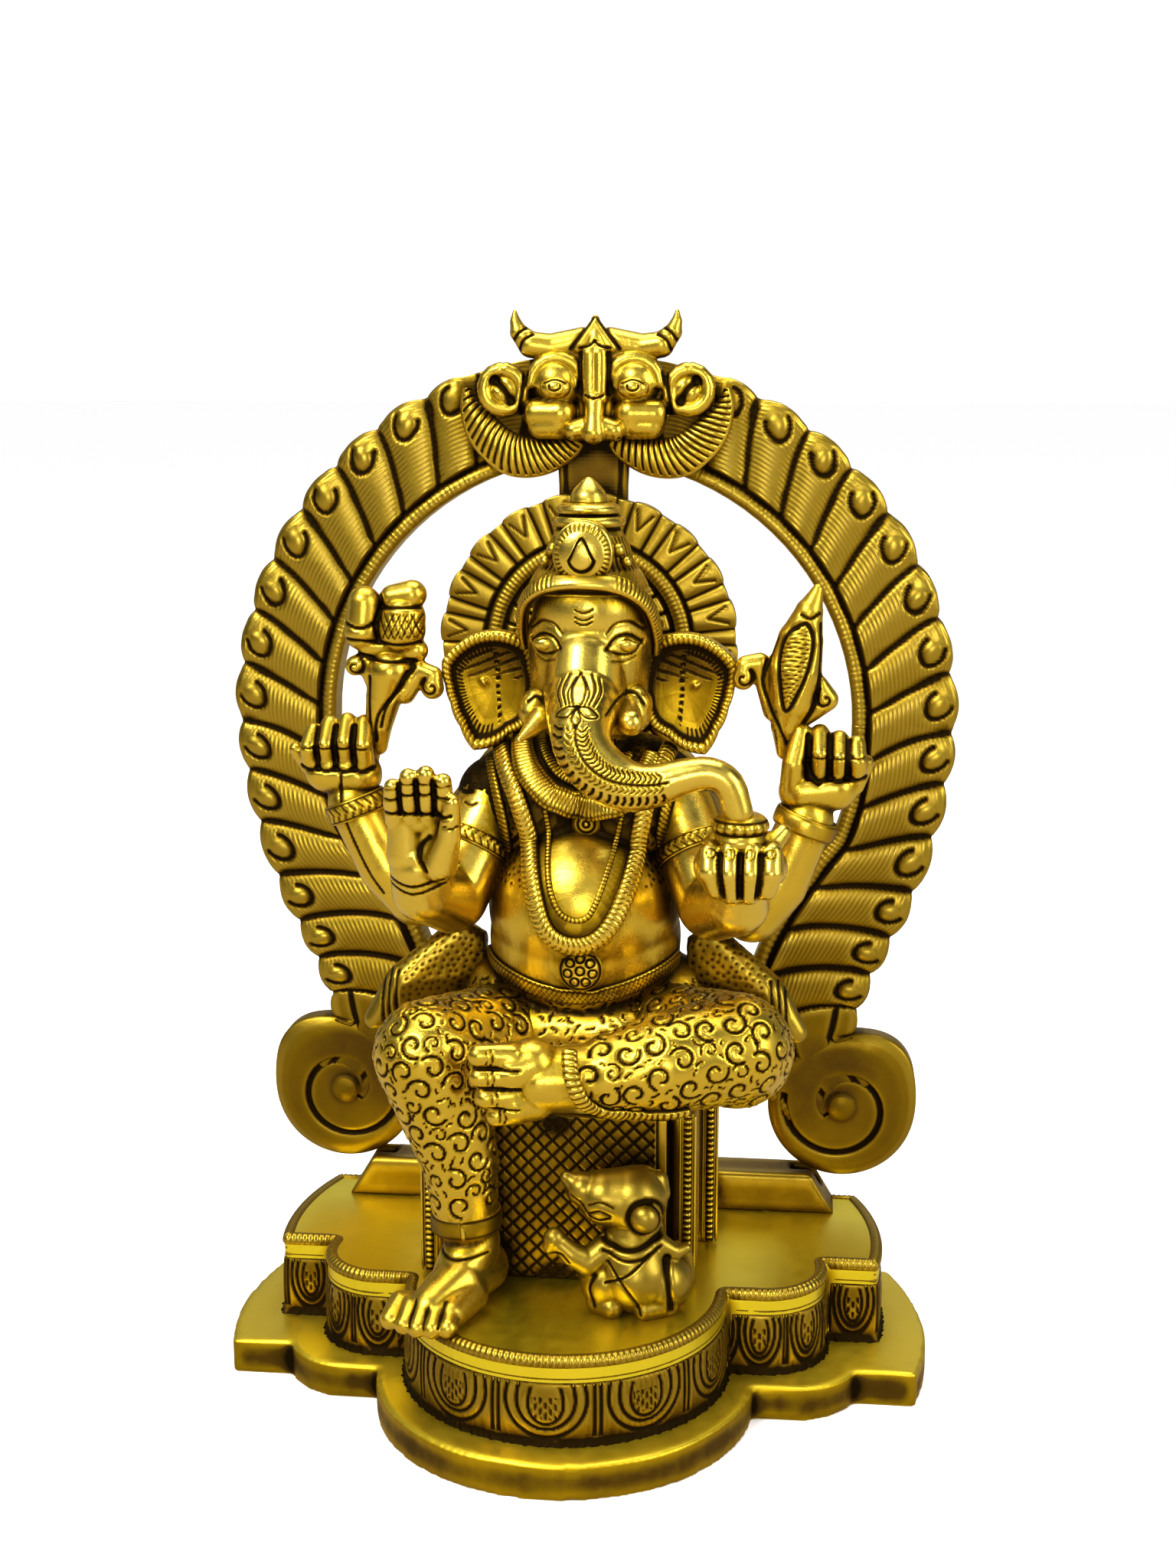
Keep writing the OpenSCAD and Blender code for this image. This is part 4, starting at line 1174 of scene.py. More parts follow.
# %% Legs
right_leg = body_of_balls("leg_right_skin", [
    [(-14, -8, 16, 15.5), (-38.5, -44, 20, 14.8), (-30, -44, -10, 10.5), (-29, -43, -26, 8.8)],
    [(-28.5, -42, -26, 7.4), (-27.5, -41, -38, 7.8)],
    [(-25.5, -38, -43, 7.6), (-30, -50, -42.5, 7.4), (-36, -60, -45.6, 5.8)], [(-27, -42, -34, 7.4), (-30, -48, -41, 7.2)],
    [(-30, -62, -46.4, 4.2), (-43, -59, -46.4, 4.4)], [(-27, -52, -45, 5.6), (-30, -62, -46.4, 4.4)],
    [(-29.8, -67.5, -47.6, 2.9), (-30, -62, -46, 3.4)], [(-34.0, -68.5, -47.6, 2.7), (-33.6, -62, -45.4, 3.4)],
    [(-37.9, -68.4, -47.6, 2.6), (-37.2, -62, -45.4, 3.4)], [(-41.7, -67.2, -47.4, 2.6), (-40.8, -61, -45.2, 3.2)],
    [(-45.8, -65.2, -47.0, 2.8), (-44, -59, -45.4, 3.6)]], 0.56, 4)


def trouser_right(P, N):
    return (P[:, 2] > -21) & ((P[:, 1] < -10) | (P[:, 2] > 20)) & ~((P[:, 0] > -15) & (P[:, 2] < 24))


punch(right_leg, CLOTH, trouser_right, 11, 0.6, 0.95)
for dx in (-32.0, -36.0, -39.9, -43.9):
    groove_3d(right_leg, [(dx, -71.5, -47.5), (dx + 0.4, -67, -44.6), (dx + 1.0, -63, -42.0)], 0.4, 0.35)
groove(right_leg, [(-38, -33), (-32, -35), (-22, -34.5)], 0.4, 0.35, 0.8)
settle_soot(right_leg, 0.9)
seat_finish(right_leg, aged_brass, "leg_right")
turn = np.linspace(0, 2 * math.pi, 60)
circle = np.stack([np.sin(turn), -np.cos(turn), 0 * turn], 1)
ankle = np.array([-28.8, -42.6, -27]) + circle * [8.6, 8.6, 0] + np.stack([0 * turn, 0 * turn, 0.5 * np.sin(turn)], 1)
seat_finish(strap("hem_right", ankle, circle, 3.0, 1.3, milled(60, 0.0, 0, 0.6), 0.4, 24, True), bright_brass)

left_leg = body_of_balls("leg_left_skin", [
    [(14, -8, 16, 15.5), (44, -38, 22, 15.5)], [(44, -42, 24, 14.5), (26, -50, 22, 13.5), (12, -54, 20, 10.5)],
    [(12, -55, 20, 8.6), (-6, -58, 19, 8.4)], [(-8, -59, 23.6, 6.8), (-13, -61, 22, 6.2)],
    [(-8, -58, 14.6, 6.8), (-12.5, -61, 13.5, 5.8)],
    [(-13, -62, 26.4, 3.6), (-21.4, -64, 26.9, 3.1)], [(-13, -63, 21.2, 3.5), (-21.0, -65, 21.5, 3.0)],
    [(-12.5, -63, 16.0, 3.5), (-19.4, -65, 15.8, 2.9)], [(-11.4, -61.5, 11.0, 3.3), (-17.0, -63.5, 10.4, 2.7)]], 0.56, 4)


def trouser_left(P, N):
    return (P[:, 0] > 7 + 0.1 * np.abs(P[:, 2] - 20)) & (P[:, 1] < -8)


punch(left_leg, CLOTH, trouser_left, 12, 0.6, 0.95)
for z in (24.1, 18.7, 13.3):
    groove(left_leg, [(-10.5, z - 0.3), (-16, z), (-23.0, z + 0.2)], 0.36, 0.9)
for x, z in ((-17.8, 26.9), (-17.4, 21.5), (-16.4, 16.0), (-14.6, 10.8)):
    groove(left_leg, [(x, z + 2.0), (x + 0.5, z), (x, z - 1.9)], 0.25, 0.25, 0.8)
    groove(left_leg, [(x - 1.2, z + 1.7), (x - 0.9, z), (x - 1.2, z - 1.6)], 0.25, 0.2, 0.7)
settle_soot(left_leg, 0.9)
seat_finish(left_leg, aged_brass, "leg_left")
run, leans = lay(left_leg, [(1.5, 31.5), (2.0, 26), (3.5, 20), (6.5, 14.5), (11.5, 12), (18, 10.8), (25, 10.8),
                            (33, 11.6)], 0.5)
seat_finish(strap("hem_left", run, leans, 2.1, 1.5, milled(1.6, 0.45, 0.4), 0.33, 24), bright_brass)

# %% [markdown]
# The head is a tall barrel of a forehead that runs down into the trunk. It is the most
# polished part: the lines on it are few and fine, and the eyes are set in shallow sockets.

# %% Head and trunk
trunk_run = [(2, -26, 116, 11), (2.2, -38, 110, 8.6), (3.8, -44, 104, 7.6), (8.5, -46, 98.6, 7.4),
             (15, -46.5, 95.2, 6.8), (22, -46.5, 95.4, 5.7), (30, -46.5, 98.0, 4.7), (36.6, -46.5, 99.0, 4.2),
             (41.6, -46.5, 96.2, 4.0), (44.2, -46.5, 89, 3.7)]
head = body_of_balls("head_skin", [
    [(2, -12, 129, 17.2), (2, -14, 114, 15.8)], [(2, -14, 137.5, 15.4)], [(2, -22, 124, 10.5), (2, -26, 116, 11)],
    [tuple(p) for p in curve(trunk_run, 3)], [(-11.5, -22, 112, 4.6), (-12, -23, 110, 4.4)], [(14.5, -22, 112.5, 5.4), (14.5, -24, 110, 5.0)]],
    0.4, 7)
for side in (-1, 1):
    x = 2 + side * 10.6
    for points, width, depth, soot_and_shade in (
            ([(-4.4, 128.5), (-2.1, 131.2), (1.2, 131.7), (4.3, 129.6)], 0.45, 0.5, 0.65),
            ([(-4.4, 128.5), (-1.1, 126.7), (2.3, 126.9), (4.3, 129.6)], 0.35, 0.35, 0.5),
            ([(-3.0, 125.4), (0, 124.7), (2.8, 125.8)], 0.28, 0.2, 0.4),
            ([(-4.6, 132.2), (-2.2, 134.7), (1.4, 135.0), (4.7, 132.8)], 0.36, 0.45, 0.25)):
        groove(head, [(x + side * dx, z) for dx, z in points], width, depth, soot_and_shade)
for z, half in ((138.2, 2.5), (136.2, 2.4), (134.9, 2.3)):
    groove(head, [(2 - half, z + 0.55), (2 - half / 2, z - 0.1), (2, z - 0.3), (2 + half / 2, z - 0.1), (2 + half, z + 0.6)], 0.26, 0.3)
for side in (-1, 1):
    groove(head, [(2, 123), (2 + side * 1.9, 119.5), (2 + side * 1.4, 116.5), (2 + side * 0.3, 115.2)], 0.26, 0.32)
    groove(head, [(2 + side * 0.9, 121.9), (2 + side * 2.9, 118.5), (2 + side * 2.0, 115.6)], 0.26, 0.32)
    groove(head, [(2 + side * 3.0, 122.5), (2 + side * 4.4, 119.0), (2 + side * 3.2, 115.8)], 0.26, 0.32)
    groove(head, [(2 + side * 5.0, 121.3), (2 + side * 5.8, 118.0), (2 + side * 4.4, 115.2)], 0.26, 0.32)
    groove(head, [(2, 115.4), (2 + side * 3.0, 115.2), (2 + side * 5.6, 112.8), (2 + side * 2.6, 113.0), (2, 115.4)],
           0.26, 0.32)
    groove(head, [(2, 115.2), (2 + side * 1.3, 112.6), (2, 110.8)], 0.26, 0.32)
middle = curve([(2, 111), (2.6, 106.5), (5.6, 101.6), (10.5, 98.2), (16, 96.9), (22, 96.6), (26, 97.2)], 10)
groove(head, middle[::4], 0.36, 0.45)
along = np.gradient(middle, axis=0)
along /= np.hypot(*along.T)[:, None]
across = np.stack([-along[:, 1], along[:, 0]], 1)
length = np.r_[0, np.cumsum(np.hypot(*np.diff(middle, axis=0).T))]
for side, near, far, width, depth, soot_and_shade in ((-1, 0.8, 3.0, 0.24, 0.3, 0.6), (-1, 4.5, 7.0, 0.42, 0.6, 1.0),
                                            (1, 0.7, 3.8, 0.28, 0.4, 0.85)):
    cuts = []
    for s in np.arange(1.2, length[-1] - 0.5, 1.4 if near < 3 else 1.75):
        here, t, n = (np.array([np.interp(s, length, table[:, k]) for k in (0, 1)])
                      for table in (middle, along, across))
        size = side * np.interp(s, [0, 8, 30], [0.8, 1.05, 0.72])
        bow = 0.25 if near < 3 else -0.35
        cuts.append(curve([here + n * near * size - t * 0.5, here + n * (near + far) / 2 * size + t * bow,
                           here + n * far * size - t * 0.8], 6) + BENCH[[0, 2]])
    chase(head, cuts, width, depth, (0, 2), (0, -1, 0), soot_and_shade)
groove(head, [(9.5, 113), (12, 116), (15.5, 116.5), (18, 113.5)], 0.4, 0.45)
groove(head, [(-8.5, 113), (-11, 115), (-13.5, 113.5)], 0.4, 0.45)
settle_soot(head, 0.8)
seat_finish(head, bright_brass, "head")

# %% Eyes, tusks
for side, name in ((-1, "right"), (1, "left")):
    x = 2 + side * 10.6
    y, normal = in_front(head, x, 129)
    eye = weld("eye_" + name, [lump((x, y + 1.2, 129.1), 2.9, (1.2, 0.8, 0.76))], 0.22, 2)
    groove(eye, [(x - 2.8, 130.0), (x - 1, 130.7), (x + 1, 130.7), (x + 2.8, 130.0)], 0.26, 0.25, 0.4)
    soot_and_shade_of(eye)
    seat_finish(eye, bright_brass)
    tip = (-14.6, -34, 104.5) if side < 0 else (14.8, -33, 109.5)
    root = (-9.2, -28, 109.5) if side < 0 else (12.4, -24, 111.5)
    blanks = limb(list(on_bench(root)) + [3.6 if side < 0 else 4.2], list(on_bench(tip)) + [0.9 if side < 0 else 3.6])
    tusk = weld("tusk_cap_" + name, blanks, 0.3, 3)
    soot_and_shade_of(tusk)
    settle_soot(tusk, 0.5)
    seat_finish(tusk, bright_brass, "tusk_" + name)

# %% [markdown]
# The ears stand out like fans. Each is a shallow dish with a thick rim; the rim is hatched
# across, and the dish keeps its patina round a row of dots and a little stud.

# %% Ears
EAR_OUTLINE = np.array([(-10, 13.2), (-5, 15.5), (1.5, 16), (9, 13.0), (14, 7.8), (13.2, 1), (11.8, -4), (9.2, -10.5),
                        (5.6, -17.0), (1.5, -16.4), (-4.5, -12.4), (-9, -9.8), (-11.5, -2.5), (-11.5, 7)])


def ear_relief(hand):
    def relief(r, a):
        share = r / 15.0
        rim = bump_between(share, 0.80, 1.04, 0.6)
        hatch = (0.5 - 0.5 * np.cos(a * 62)) ** 2 * (share > 0.80)
        dish = -1.9 * (1 - (share / 0.8).clip(0, 1) ** 2)
        x, z = r * np.sin(a), r * np.cos(a)
        dots = np.exp(-((x * hand + 1.2 - 0.06 * z) / 0.5) ** 2) * (np.sin(z * 3.0) > 0.0) * (share < 0.66)
        stud = np.exp(-((np.hypot(x * hand - 2.6, z - 1.5)) / 1.0) ** 2)
        strokes = np.exp(-((np.abs((a * 30 / math.pi) % 1 - 0.5)) / 0.16) ** 2) * (share > 0.60) * (share < 0.76)
        strokes = strokes * (x * hand > 0)
        low_hatch = (np.sin(z * 2.6 + x * hand) > 0.45) * (share < 0.7) * (z > 3)
        inner = np.exp(-((share - 0.78) / 0.035) ** 2)
        depth = dish + 1.9 * rim - 0.3 * hatch - 0.35 * dots + 1.2 * stud - 0.3 * strokes - 0.15 * low_hatch
        patina = 0.26 + 0.34 * np.clip(z / 9, 0, 1) * (share < 0.8) - 0.24 * (share > 0.8)
        soot_and_shade = np.clip(patina + 0.5 * hatch + dots + 0.8 * strokes + inner - 0.6 * stud + 0.2 * low_hatch, 0, 1)
        return depth, soot_and_shade * (share > 0.01)
    return relief


for hand, name in ((-1, "right"), (1, "left")):
    turn = np.unwrap(np.arctan2(EAR_OUTLINE[:, 0], EAR_OUTLINE[:, 1]))
    reach = np.hypot(*EAR_OUTLINE.T)
    order = np.argsort(turn)
    turn, reach = turn[order], reach[order]

    def ear_edge(a, hand=hand, turn=turn, reach=reach):
        return np.interp((a * hand - turn[0]) % (2 * math.pi) + turn[0], np.r_[turn, turn[0] + 2 * math.pi],
                         np.r_[reach, reach[0]]) - 15.0

    ear = dial("ear_fan_" + name, (1.5 + hand * 26.5 + SEAT[0], 114.5 + SEAT[2]), 15.0, SEAT[1] - 11, SEAT[1] - 6.5,
               ear_relief(hand), 250, 50, edge=ear_edge, hold=1)
    settle_soot(ear, 0.5)
    seat_finish(ear, aged_brass, "ear_" + name)

# %% [markdown]
# The crown is turned work: a cap, two ring bands and a pointed knob, with a jewel in a
# hatched setting over the forehead and a hatched rim that frames the brow.

# %% Crown
def turned(name, profile, middle, spokes=120, relief=None):
    """A lathe piece: profile holds radius and height, relief(a, z) gives depth and soot."""
    profile = np.array(profile, float)
    spokes = int(spokes / COARSE)
    bpy.ops.mesh.primitive_grid_add(x_subdivisions=spokes, y_subdivisions=len(profile) - 1, size=1)
    ob = bpy.context.active_object
    ob.name = ob.data.name = name
    uv = spots(ob) * MM + 0.5
    c = np.rint(uv[:, 0] * spokes).astype(int) % spokes
    k = np.rint(uv[:, 1] * (len(profile) - 1)).astype(int)
    a = c * 2 * math.pi / spokes
    r, z = profile[k, 0], profile[k, 1]
    depth, soot_and_shade = relief(a, z) if relief else (0 * a, 0 * a)
    r = np.maximum(r - depth, 0.0)
    where = np.stack([middle[0] + r * np.sin(a), middle[1] - r * np.cos(a), z], 1)
    move_to(ob, on_bench(where))
    set_soot_and_shade(ob, soot_and_shade)
    tidy_strip()
    return ob


cap_profile = curve([(0.01, 141.5), (15.6, 141.6), (16.2, 143.5), (14.8, 146.5), (12.4, 150), (11.2, 154), (9.4, 157.5), (8.6, 159),
                     (9.6, 159.6), (10.0, 160.8), (9.2, 162.0), (7.9, 162.5), (8.5, 163.1), (8.6, 164.3), (7.4, 165.4),
                     (5.2, 165.8), (0.01, 166)], 7)


def cap_relief(a, z):
    flute = (0.5 - 0.5 * np.cos(a * 44)) ** 2 * (z > 148) * (z < 157)
    ring = np.exp(-((z - 158.8) / 0.4) ** 2) + np.exp(-((z - 162.5) / 0.35) ** 2)
    return 0.35 * flute, np.clip(0.5 * flute + ring + 0.1, 0, 1)


cap = turned("crown_cap", cap_profile, (1.5, -12), 176, cap_relief)
settle_soot(cap, 0.6)
seat_finish(cap, bright_brass, "crown")
knob_profile = curve([(0.01, 165.4), (4.6, 165.6), (5.0, 166.6), (4.4, 168.6), (2.6, 170.8), (0.9, 172.2), (0.01, 172.6)], 6)
seat_finish(turned("crown_finial", knob_profile, (1.5, -12), 60), bright_brass, "crown_knob")
brow = [(-15.8, -10, 126), (-16.3, -14, 132), (-14.8, -20.4, 139.3), (-10.6, -25.8, 143.8), (-4.6, -28.4, 145.8),
        (2, -29.2, 146.2), (8.6, -28.4, 145.6), (14.4, -25.6, 143.2), (18.4, -20.2, 138.4), (20.0, -14, 131), (19.6, -10, 125)]
run = curve(brow, 8)
leans = run - np.array([2, -10, 132])


def rim_cuts(s, u, v):
    tooth = (0.5 - 0.5 * np.cos((s + 0.2 * u) * 2 * math.pi / 1.3)) ** 3 * (np.abs(u) < 0.8)
    tooth *= np.clip((np.abs(s - RIM_LENGTH / 2) - 7) / 3, 0, 1)
    edge = np.exp(-((u + 0.62) / 0.09) ** 2)
    return 0.4 * tooth + 0.3 * edge, 0.75 * np.maximum(tooth, edge)


RIM_LENGTH = np.linalg.norm(np.diff(run, axis=0), axis=1).sum()
seat_finish(strap("crown_rim", run, leans / np.linalg.norm(leans, axis=1)[:, None], 2.6, 1.7, rim_cuts, 0.3, 28),
            bright_brass)


def jewel_relief(r, a):
    x, z = r * np.sin(a), r * np.cos(a)
    drop = np.hypot(x * (1 + 0.22 * np.clip(z + 0.6, -1, 5)), (z + 0.2) / 1.55)
    setting = np.exp(-((drop - 2.75) / 0.34) ** 2)
    hatch = (0.5 - 0.5 * np.cos(a * 34)) ** 3 * (r > 6.0) * (r < 7.4)
    dome = 3.2 * np.sqrt(np.clip(1 - (r / 7.6) ** 2, 0, 1))
    return dome + 0.7 * (drop < 2.6) - 0.5 * setting - 0.35 * hatch, np.clip(setting + 0.7 * hatch, 0, 1)


jewel = dial("crown_jewel_setting", (1.6 + SEAT[0], 153.2 + SEAT[2]), 7.9, SEAT[1] - 28, SEAT[1] - 22, jewel_relief, 150,
             44, edge=lambda a: 0.9 * np.abs(np.cos(a)) ** 2)
seat_finish(jewel, bright_brass, "crown_jewel")
for side in (-1, 1):
    for dx, dy, dz, r in ((8.6, 7.2, 153.5, 2.0), (10.8, 7.2, 150.4, 1.6)):
        bead = weld("crown_boss_%d_%d" % (side, dz * 10), [lump((1.5 + side * dx, -12 - dy, dz), r)], 0.3, 1)
        soot_and_shade_of(bead)
        seat_finish(bead, bright_brass)
print("torso, legs and head are done")


# %% [markdown]
# Four arms come from two shoulders. Each hand is a palm with separate fingers: welded just
# enough to be one casting, with the gaps between the fingers cut deep and left black.

# %% Arms and hands
def cuff(name, middle, axis, radius, half, thick, relief):
    axis = np.array(axis, float) / np.linalg.norm(axis)
    u = np.cross(axis, (0, 1, 0))
    u /= np.linalg.norm(u)
    v = np.cross(axis, u)
    turn = np.linspace(0, 2 * math.pi, 64)[:, None]
    out = u * np.cos(turn) + v * np.sin(turn)
    ob = strap(name, np.array(middle) + out * radius, out, half, thick, relief, 0.33, 24, True)
    return ob


def chevrons(s, u, v):
    tooth = (0.5 - 0.5 * np.cos((s + 1.6 * np.abs(u)) * 2 * math.pi / 2.1)) ** 4 * (np.abs(u) < 0.62)
    edge = np.exp(-((np.abs(u) - 0.74) / 0.09) ** 2)
    cut = np.maximum(tooth, edge)
    return 0.3 * cut, 0.8 * cut


work_from(*SEAT)
palm_arm = body_of_balls("arm_front_right_skin", [
    [(-25, -6, 84, 10.5), (-36, -20, 58, 10.5), (-41, -33, 62.5, 8.8), (-41.5, -37, 70, 8.0)],
    [(-46.4, -42, 84, 3.0), (-46.5, -45, 89, 2.7), (-46.2, -47, 93.6, 2.4)],
    [(-42.0, -42, 84, 3.0), (-42.0, -45.5, 90, 2.7), (-41.8, -48, 96.6, 2.4)],
    [(-37.5, -42, 84, 3.0), (-37.4, -45.5, 90, 2.7), (-37.2, -48, 97.4, 2.4)],
    [(-33.0, -42, 84, 2.9), (-32.9, -45, 89, 2.6), (-32.8, -47, 95.4, 2.3)],
    [(-34.5, -43, 72, 4.6), (-31.6, -46, 80, 3.2), (-30.4, -47.5, 90, 2.2)],
    [(-44, -39, 74, 5.8), (-44, -40, 84, 5.0), (-36, -40, 84, 5.0), (-37, -39, 72, 5.8), (-44, -39, 74, 5.8)]],
    0.53, 3)
for x in (-44.1, -39.5, -35.0):
    groove(palm_arm, [(x - 0.2, 86), (x - 0.2, 91), (x - 0.1, 96.0)], 0.42, 1.1)
for x, z in ((-46.4, 90.6), (-41.9, 92.0), (-37.3, 92.2), (-32.8, 91.4)):
    groove(palm_arm, [(x - 2, z), (x, z - 0.3), (x + 2, z)], 0.38, 0.45)
    groove(palm_arm, [(x - 2, z + 3), (x, z + 2.7), (x + 2, z + 3)], 0.3, 0.3, 0.7)
    groove(palm_arm, [(x - 2.4, 86.6), (x, 86.2), (x + 2.4, 86.6)], 0.55, 0.6)
groove(palm_arm, [(-37.0, 80), (-39.4, 77.6), (-39.8, 74), (-38.0, 70.8)], 0.6, 0.7, 0.8)
groove(palm_arm, [(-32.5, 83.8), (-30.5, 83.2), (-28.8, 83.8)], 0.3, 0.3)
groove(palm_arm, [(-50, 68.4), (-42, 66.0), (-33, 68.8)], 0.4, 0.4)
groove(palm_arm, [(-49, 66.2), (-42, 63.8), (-34, 66.4)], 0.35, 0.35)
settle_soot(palm_arm, 0.9, 1.0, 0.02)
seat_finish(palm_arm, bright_brass, "front_arm_right")

bowl_arm = body_of_balls("arm_front_left_skin", [
    [(25, -6, 84, 10.5), (37, -20, 58, 10.5), (43.5, -36, 62, 8.8), (44.8, -42, 71, 7.2)],
    [(38.4, -44, 74, 6.0), (51, -44, 74, 6.0)], [(39, -42, 79, 4.4), (50.5, -42, 79, 4.4)],
    [(37.0, -47.0, 78.4, 3.0), (37.0, -49.0, 73.6, 3.3), (38.4, -47.6, 69.0, 2.9)],
    [(42.2, -47.8, 79.2, 3.0), (42.2, -50.2, 73.6, 3.4), (42.6, -48.4, 67.9, 3.0)],
    [(47.6, -47.8, 79.2, 3.0), (47.6, -50.2, 73.6, 3.4), (47.2, -48.4, 67.9, 3.0)],
    [(52.8, -47.0, 78.4, 3.0), (52.8, -49.0, 73.6, 3.3), (51.4, -47.6, 69.0, 2.9)],
    [(52, -43, 79, 3.2), (55.4, -40, 82.5, 2.2)]], 0.53, 3)
for x, low_x in ((39.6, 40.4), (44.9, 44.9), (50.2, 49.4)):
    groove(bowl_arm, [(x, 78.5), (x, 74), (low_x, 67.0)], 0.6, 1.5)
for x in (37.2, 42.3, 47.5, 52.6):
    run = np.array([(x + 1.2 * math.sin(a), 78.8 + 1.2 * math.cos(a)) for a in np.linspace(0, 6.3, 9)])
    groove(bowl_arm, run, 0.25, 0.25, 0.8)
settle_soot(bowl_arm, 0.9, 1.0, 0.02)
seat_finish(bowl_arm, bright_brass, "front_arm_left")


def sweet_relief(a, z):
    bead = (0.5 - 0.5 * np.cos(a * 16)) ** 2 * (z > 83.5) * (z < 86.2)
    ring = np.exp(-((z - 83.2) / 0.3) ** 2) + np.exp(-((z - 86.5) / 0.3) ** 2)
    return 0.3 * bead, np.clip(0.4 * bead + ring, 0, 1)


sweet_profile = curve([(0.01, 79), (5.6, 79.2), (6.9, 81), (6.4, 83), (7.4, 84.4), (7.2, 86), (5.6, 87.6), (3.0, 88.4),
                       (0.01, 88.6)], 6)
seat_finish(turned("sweets", sweet_profile, (44.6, -43.5), 130, sweet_relief), bright_brass, "sweet_bowl")

rear_right = body_of_balls("arm_rear_right_skin", [
    [(-22, 2, 88, 10), (-47, -12, 56, 9), (-55, -13, 64, 8.2), (-64.5, -12, 82, 7.4)],
    [(-63, -12, 90, 6.6), (-72, -12, 91, 6.2)], [(-62, -11, 96, 5), (-74, -11, 96, 4.4)],
    [(-75.8, -14, 93, 2.6), (-76, -16.5, 98, 2.5), (-75.2, -13, 102, 2.5)],
    [(-70.8, -14, 93, 2.7), (-71, -17, 99, 2.6), (-70.6, -13, 104, 2.6)],
    [(-65.7, -14, 93, 2.7), (-65.7, -17, 100, 2.6), (-65.6, -13, 105, 2.6)],
    [(-60.6, -14, 92, 2.8), (-60.4, -17, 99, 2.7), (-60.8, -13, 104.4, 2.7)],
    [(-77, -12, 93, 3), (-80.6, -13, 97, 1.9)]], 0.56, 3)
rear_left = body_of_balls("arm_rear_left_skin", [
    [(22, 2, 88, 10), (47, -12, 54, 9), (54, -13, 62, 8.2), (61.5, -12, 80, 7.4)],
    [(60, -12, 88, 6.4), (69, -12, 89, 6.2)], [(60, -11, 95, 4.6), (73, -11, 95, 4.4)],
    [(57.2, -14, 88, 3.4), (57.6, -16, 96, 3.2), (59.6, -14, 104.5, 2.7)],
    [(64.8, -14, 93, 2.7), (64.8, -17, 99, 2.6), (64.6, -13, 104.2, 2.6)],
    [(69.8, -14, 93, 2.7), (70.0, -17, 98, 2.6), (69.8, -13, 102.6, 2.6)],
    [(74.6, -14, 93, 2.5), (75.0, -16, 97, 2.4), (74.6, -13, 101.4, 2.4)],
    [(74, -12, 90, 3.0), (77, -12, 96, 2.4)]], 0.56, 3)
for ob, gaps, fingers in ((rear_right, (-73.4, -68.3, -63.1), (-75.9, -70.8, -65.7, -60.5)),
                          (rear_left, (61.6, 67.3, 72.3), (64.7, 69.9, 74.8))):
    for x in gaps:
        groove(ob, [(x, 92.5), (x, 98), (x, 104)], 0.6, 1.1)
    for x in fingers:
        groove(ob, [(x - 2, 98.6), (x, 98.2), (x + 2, 98.6)], 0.32, 0.35)
        groove(ob, [(x - 2.5, 92.6), (x, 91.8), (x + 2.5, 92.6)], 0.6, 0.7)
groove(rear_right, [(-66.5, 92), (-66.8, 84), (-65, 77), (-60, 66), (-55, 58)], 0.4, 0.4)
groove(rear_left, [(60.8, 97), (62.6, 93), (64.5, 91)], 0.6, 0.6)
for ob, node in ((rear_right, "rear_arm_right"), (rear_left, "rear_arm_left")):
    settle_soot(ob, 0.9, 1.0, 0.06)
    seat_finish(ob, aged_brass, node)
seat_finish(cuff("bracelet_rear_right", (-63.6, -12, 81), (-0.36, 0.05, 0.93), 7.9, 2.9, 1.2, chevrons), aged_brass)
seat_finish(cuff("bracelet_rear_left", (61.2, -12, 79), (0.36, 0.05, 0.93), 7.9, 2.7, 1.2, milled(60, 0, 0, 1.0)),
            aged_brass)
seat_finish(cuff("armband_right", (-30.5, -13, 71), (-0.35, -0.45, -0.8), 10.9, 2.3, 1.1, chevrons), aged_brass)
seat_finish(cuff("armband_left", (31, -13, 71), (0.38, -0.45, -0.8), 10.9, 2.3, 1.1, chevrons), aged_brass)

# %% [markdown]
# The rear hands hold an axe-like emblem with a curled neck and a lotus bud with two curled
# leaves. Both are small flat castings, round at the edges and chased on the front.

# %% Axe and lotus bud
axe = body_of_balls("axe_skin", [
    [(-57.4, -11, 98, 2.6), (-57.0, -12, 104, 3.8), (-55.4, -12, 112, 5.0), (-53.4, -12, 119, 6.4)],
    [(-57, -12, 116, 3.4), (-60.5, -12, 122, 2.6), (-63.2, -12.5, 120.6, 2.8)],
    [(-49.5, -12, 113, 3.0), (-45, -12, 119.5, 2.6), (-41.4, -12.5, 118.2, 2.6), (-41.6, -12.8, 114.8, 3.2)],
    [(-59.5, -12, 126, 3.2), (-46, -12, 125, 3.2)], [(-61, -12, 130, 5.2), (-60.4, -12, 138, 4.6)],
    [(-50, -12.4, 131, 6.6), (-49.6, -12.2, 134, 6.2)], [(-52.5, -12, 139.6, 3.4), (-47, -12, 140.4, 4.0)]], 0.48, 3)
for line in ([(-57.5, 100), (-56.4, 107), (-51.4, 113.5), (-48.0, 119.5)], [(-58.6, 101.5), (-59.0, 110), (-58.6, 118)],
             [(-55.6, 104), (-53.8, 110), (-50, 114.8), (-46.6, 120.6)],
             [(-65, 128.3), (-57, 127.6), (-49, 126.9), (-43.2, 128)], [(-64, 124.6), (-56, 122.8), (-46, 122.4)],
             [(-56, 128), (-56.6, 133), (-55.2, 138.6), (-57, 142)], [(-55.4, 137.0), (-49, 137.4), (-43, 137.2)],
             [(-66, 133), (-61, 131.4), (-57, 132.6)]):
    groove(axe, line, 0.5, 0.6)
